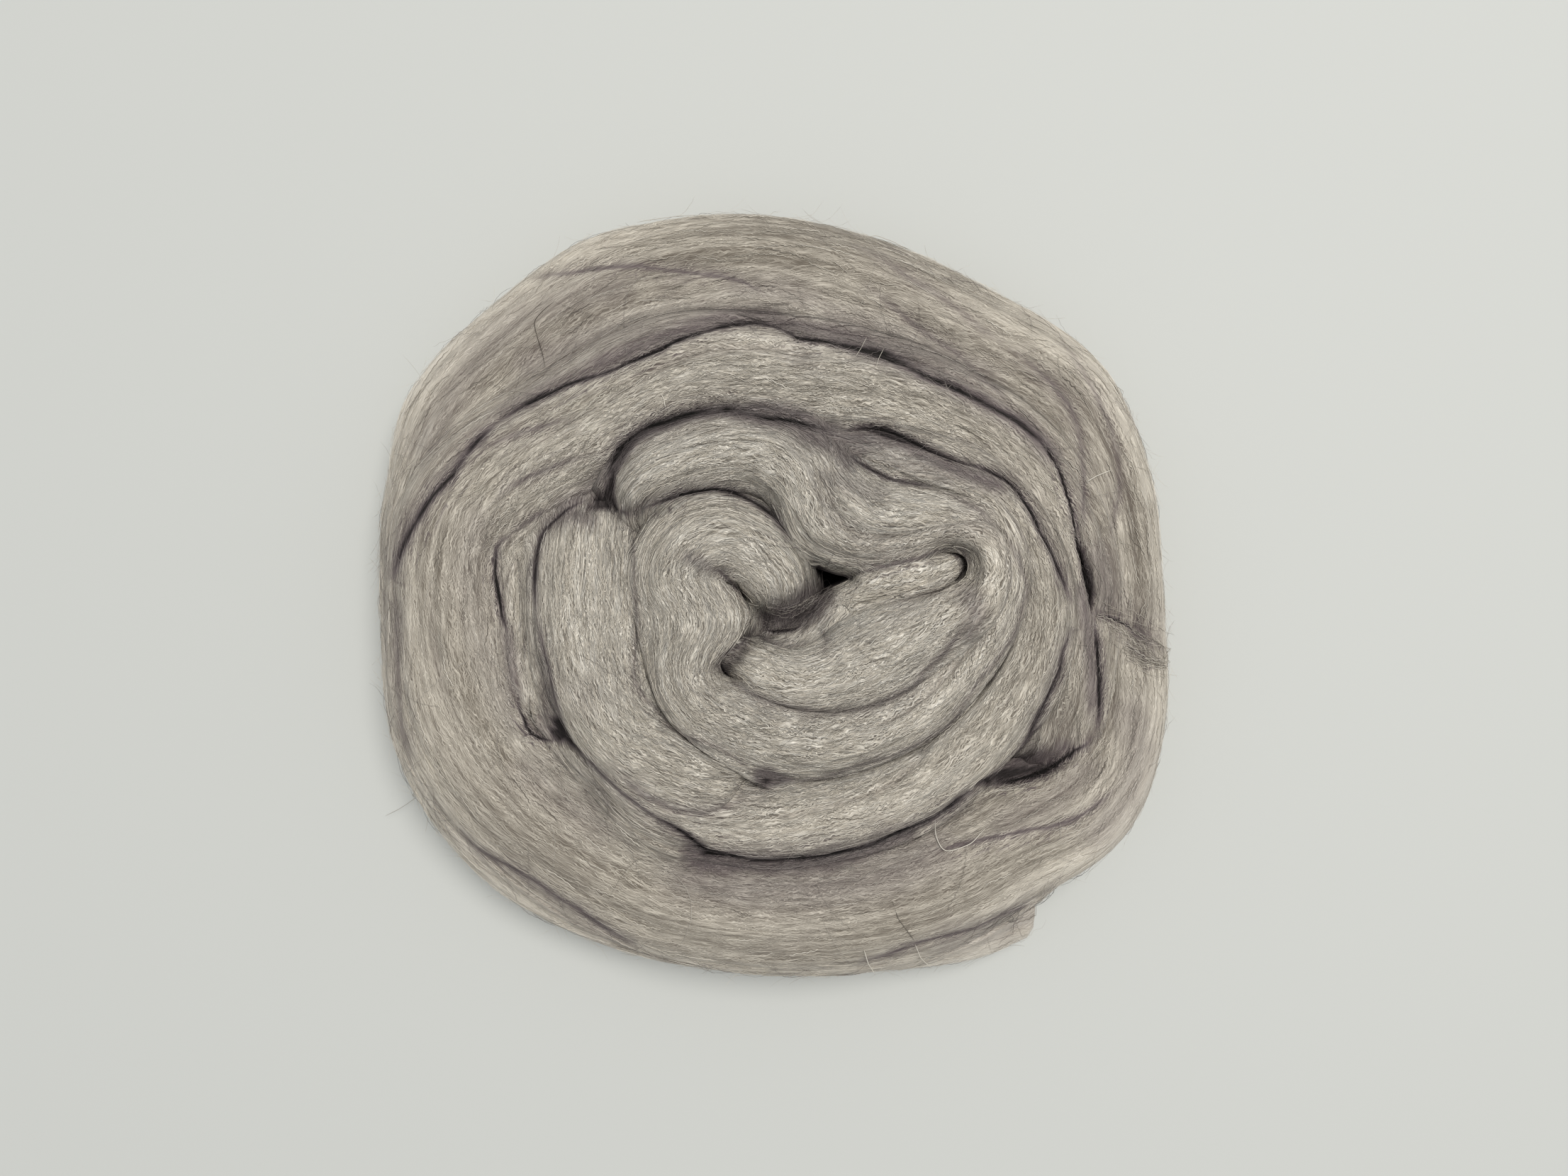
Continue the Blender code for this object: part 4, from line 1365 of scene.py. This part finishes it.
lowerLoop = {
    "name": "lower_loop",
    "seed": 31,
    "step": 2.5,
    "around": 150,
    "rows": [
        (-6, 42, 40, 22, 26),
        (12, 47, 47, 22, 30),
        (34, 45, 50, 22, 34),
        (60, 37, 50, 20, 34),
        (77, 22, 49, 20, 34),
        (85, 0, 48, 22, 34),
        (81, -21, 49, 24, 36),
        (68, -41, 50, 27, 38),
        (45, -60, 50, 28, 38),
        (18, -69, 50, 29, 38),
        (-9, -72, 49, 29, 38),
        (-34, -64, 48, 30, 38),
        (-56, -44, 44, 30, 36),
        (-65, -20, 40, 30, 34),
    ],
}

sideFold = {
    "name": "side_fold",
    "seed": 47,
    "step": 2.5,
    "around": 110,
    "rows": [
        (-77, 24, 30, 16, 26),
        (-83, 8, 37, 17, 30),
        (-82, -14, 38, 17, 30),
        (-78, -36, 36, 17, 30),
        (-70, -54, 26, 16, 24),
    ],
}

leftFold = {
    "name": "left_fold",
    "seed": 59,
    "step": 2.0,
    "around": 160,
    "rows": [
        (-60, 29, 34, 26, 26),
        (-60, 20, 46, 32, 34),
        (-60, 8, 55, 38, 40),
        (-60, -13, 57, 36, 40),
        (-56, -31, 57, 34, 40),
        (-46, -46, 56, 31, 40),
        (-28, -56, 54, 27, 38),
        (-11, -61, 48, 18, 34),
    ],
}

archFold = {
    "name": "arch_fold",
    "seed": 71,
    "step": 2.0,
    "around": 160,
    # x, y, radius, then how far the wool there leans out
    "pushes": [
        (-15, -7, 12, 9, 0),
    ],
    "rows": [
        (-1, -18, 26, 32, 18),
        (-4, -9, 41, 36, 30),
        (-1.5, 6, 52.5, 34, 36),
        (-12, 17, 58, 31, 38),
        (-23, 17, 60, 32, 38),
        (-31, 9, 60, 30, 38),
        (-30, -3, 60, 28, 38),
        (-29.5, -12, 60, 26, 38),
        (-30, -20, 59, 22, 38),
        (-28, -29, 58, 22, 38),
        (-21.5, -36, 57, 23, 38),
        (-10, -42, 57, 25, 38),
        (4, -46, 57, 25, 38),
        (27, -44, 57, 21, 38),
        (49, -33, 56, 18, 36),
        (65, -14, 54, 16, 34),
        (72, 5, 53, 14, 32),
        (67, 23, 52, 14, 30),
        (48, 33, 46, 14, 26),
    ],
}

upperLoop = {
    "name": "upper_loop",
    "seed": 83,
    "step": 2.0,
    "around": 160,
    "rows": [
        (-45, 26, 38, 20, 28),
        (-41, 37, 54, 25, 36),
        (-25, 44, 59, 26, 38),
        (-7, 46, 60, 26, 38),
        (5, 40, 60, 25, 38),
        (10, 30, 60, 21, 38),
        (14, 21, 60, 20, 38),
        (25, 13.5, 60, 15, 38),
        (42, 15.5, 59, 10, 37),
        (55, 19, 57, 9, 35),
        (64, 15, 57, 9, 34),
        (65, 5, 57, 10, 34),
        (59, -3, 58, 14, 34),
        (46, -11, 60, 24, 38),
        (31, -19, 60, 31, 38),
        (10, -26, 58, 21, 36),
        (-8, -21, 50, 15, 32),
        (-21, -18, 36, 14, 24),
    ],
}

sweepFold = {
    "name": "sweep_fold",
    "seed": 109,
    "step": 2.0,
    "around": 130,
    "rows": [
        (6, 50, 34, 10, 24),
        (14, 45, 48, 15, 32),
        (19, 35, 56, 24, 38),
        (30, 26.5, 59, 29, 40),
        (46, 25.5, 58, 21, 38),
        (59, 22.5, 56, 14, 36),
        (68, 15, 54, 9, 34),
        (70, 5, 54, 8, 34),
        (65, -6, 52, 9, 32),
        (55, -14, 46, 9, 28),
    ],
}

innerTongue = {
    "name": "inner_tongue",
    "seed": 97,
    "step": 1.6,
    "around": 90,
    "rows": [
        (61.5, 12, 47, 9, 24),
        (48, 7, 53, 13, 30),
        (34, 3, 54, 12, 30),
        (21, -2, 52, 12, 30),
        (14, -10, 52, 13, 28),
        (5, -17, 50, 13, 28),
        (-8, -21, 42, 12, 26),
    ],
}

bands = [outerCoil, lowerLoop, sideFold, leftFold, archFold, upperLoop, sweepFold, innerTongue]

# the turns pressed flat underneath, painted in full shade, nearly black, to show as darkness between the
# folds, in millimetres
underTurns = {
    "name": "under_turns",
    "radius": 106,
    "height": 22,
    "sides": 96,
    "insets": (12, 20, 20, 20),  # rings on the top
    "rounding": 8,
}


def buildUnderTurns(material):
    mesh = bmesh.new()
    spec = underTurns
    radius, height = spec["radius"] * mm, spec["height"] * mm
    bmesh.ops.create_cone(
        mesh, cap_ends=True, segments=spec["sides"], radius1=radius, radius2=radius, depth=height
    )
    bmesh.ops.translate(mesh, verts=mesh.verts, vec=(0, 0, height / 2))
    top = [face for face in mesh.faces if face.normal.z > 0.9]
    for inset in spec["insets"]:
        bmesh.ops.inset_region(mesh, faces=top, thickness=inset * mm)
    rim = [edge for edge in mesh.edges if all(abs(v.co.z - height) < 1e-6 for v in edge.verts)]
    rim = [edge for edge in rim if len(edge.link_faces) == 2 and edge.calc_face_angle(0) > 1]
    bmesh.ops.bevel(
        mesh,
        geom=rim,
        offset=spec["rounding"] * mm,
        offset_type="OFFSET",
        segments=4,
        profile=0.5,
        affect="EDGES",
        material=-1,
    )
    bmesh.ops.recalc_face_normals(mesh, faces=mesh.faces)
    data = bpy.data.meshes.new(spec["name"])
    mesh.to_mesh(data)
    mesh.free()
    data.shade_smooth()
    data.uv_layers.new(name="fibres")
    # painted full shade all over, nearly black
    shade = data.attributes.new("shade", "FLOAT", "POINT")
    shade.data.foreach_set("value", [1.0] * len(data.vertices))
    return addPiece(spec["name"], data, material)


studio = {
    "floor": (0.535, 0.54, 0.508, 1),
    "floorSize": 6,
    "floorRoughness": 0.7,
    "world": (0.93, 0.96, 1.0, 1),
    "worldStrength": 0.52,
    "lampPlace": (0.85, 0.95, 3.3),
    "lampSize": 2.1,
    "lampPower": 104,
    "lampColour": (1.0, 0.985, 0.96),
    "cameraPlace": (0.0039, 0.0021, 0.430),  # straight above, looking down
    "lens": 28,
}


def addFloor():
    mesh = bmesh.new()
    bmesh.ops.create_grid(mesh, x_segments=1, y_segments=1, size=studio["floorSize"])
    data = bpy.data.meshes.new("floor")
    mesh.to_mesh(data)
    mesh.free()
    floor = bpy.data.objects.new("floor", data)
    floor.location.z = -0.0002
    bpy.context.scene.collection.objects.link(floor)
    paint = bpy.data.materials.new("pale_floor")
    paint.use_nodes = True
    shader = paint.node_tree.nodes["Principled BSDF"]
    shader.inputs["Base Color"].default_value = studio["floor"]
    shader.inputs["Roughness"].default_value = studio["floorRoughness"]
    data.materials.append(paint)


def addLight():
    world = bpy.data.worlds.new("studio")
    world.use_nodes = True
    sky = world.node_tree.nodes["Background"]
    sky.inputs["Color"].default_value = studio["world"]
    sky.inputs["Strength"].default_value = studio["worldStrength"]
    bpy.context.scene.world = world
    lamp = bpy.data.lights.new("window", "AREA")
    lamp.shape = "DISK"
    lamp.size = studio["lampSize"]
    lamp.energy = studio["lampPower"]
    lamp.color = studio["lampColour"]
    holder = bpy.data.objects.new("window", lamp)
    holder.location = studio["lampPlace"]
    holder.rotation_euler = (-Vector(studio["lampPlace"])).to_track_quat("-Z", "Y").to_euler()
    bpy.context.scene.collection.objects.link(holder)


def addCamera():
    camera = bpy.data.cameras.new("camera")
    camera.lens = studio["lens"]
    camera.sensor_width = 36
    holder = bpy.data.objects.new("camera", camera)
    holder.location = studio["cameraPlace"]
    bpy.context.scene.collection.objects.link(holder)
    bpy.context.scene.camera = holder
    bpy.context.scene.view_settings.view_transform = "Standard"


addFloor()
addLight()
addCamera()
print("stage: floor, lamp and camera")
wool, hair = woolMaterial(), hairMaterial()
surfaces = {}
runs = bandSamples(bands)
for index, spec in enumerate(bands):
    surface = bandSurface(spec)
    pressTogether(surface, index, runs)
    finishSurface(spec, surface)
    surfaces[spec["name"]] = surface
    piece = addPiece(spec["name"], bandMesh(spec, surface), wool)
    print("stage:", spec["name"], len(piece.data.polygons), "faces")
buildUnderTurns(wool)
print("stage: under turns")
surfaceFibres(surfaces, hair)
fringeFibres(surfaces["outer_coil"], hair)
height, way = heightMap(surfaces)
bridge = np.maximum(soften(spreadMost(height, 2), 6), height)
maps = {"height": height, "bridge": bridge, "way": way}
print("stage: height map")
webFibres(maps, hair)
tuftFibres(maps, hair)
strayFibres(maps, hair)
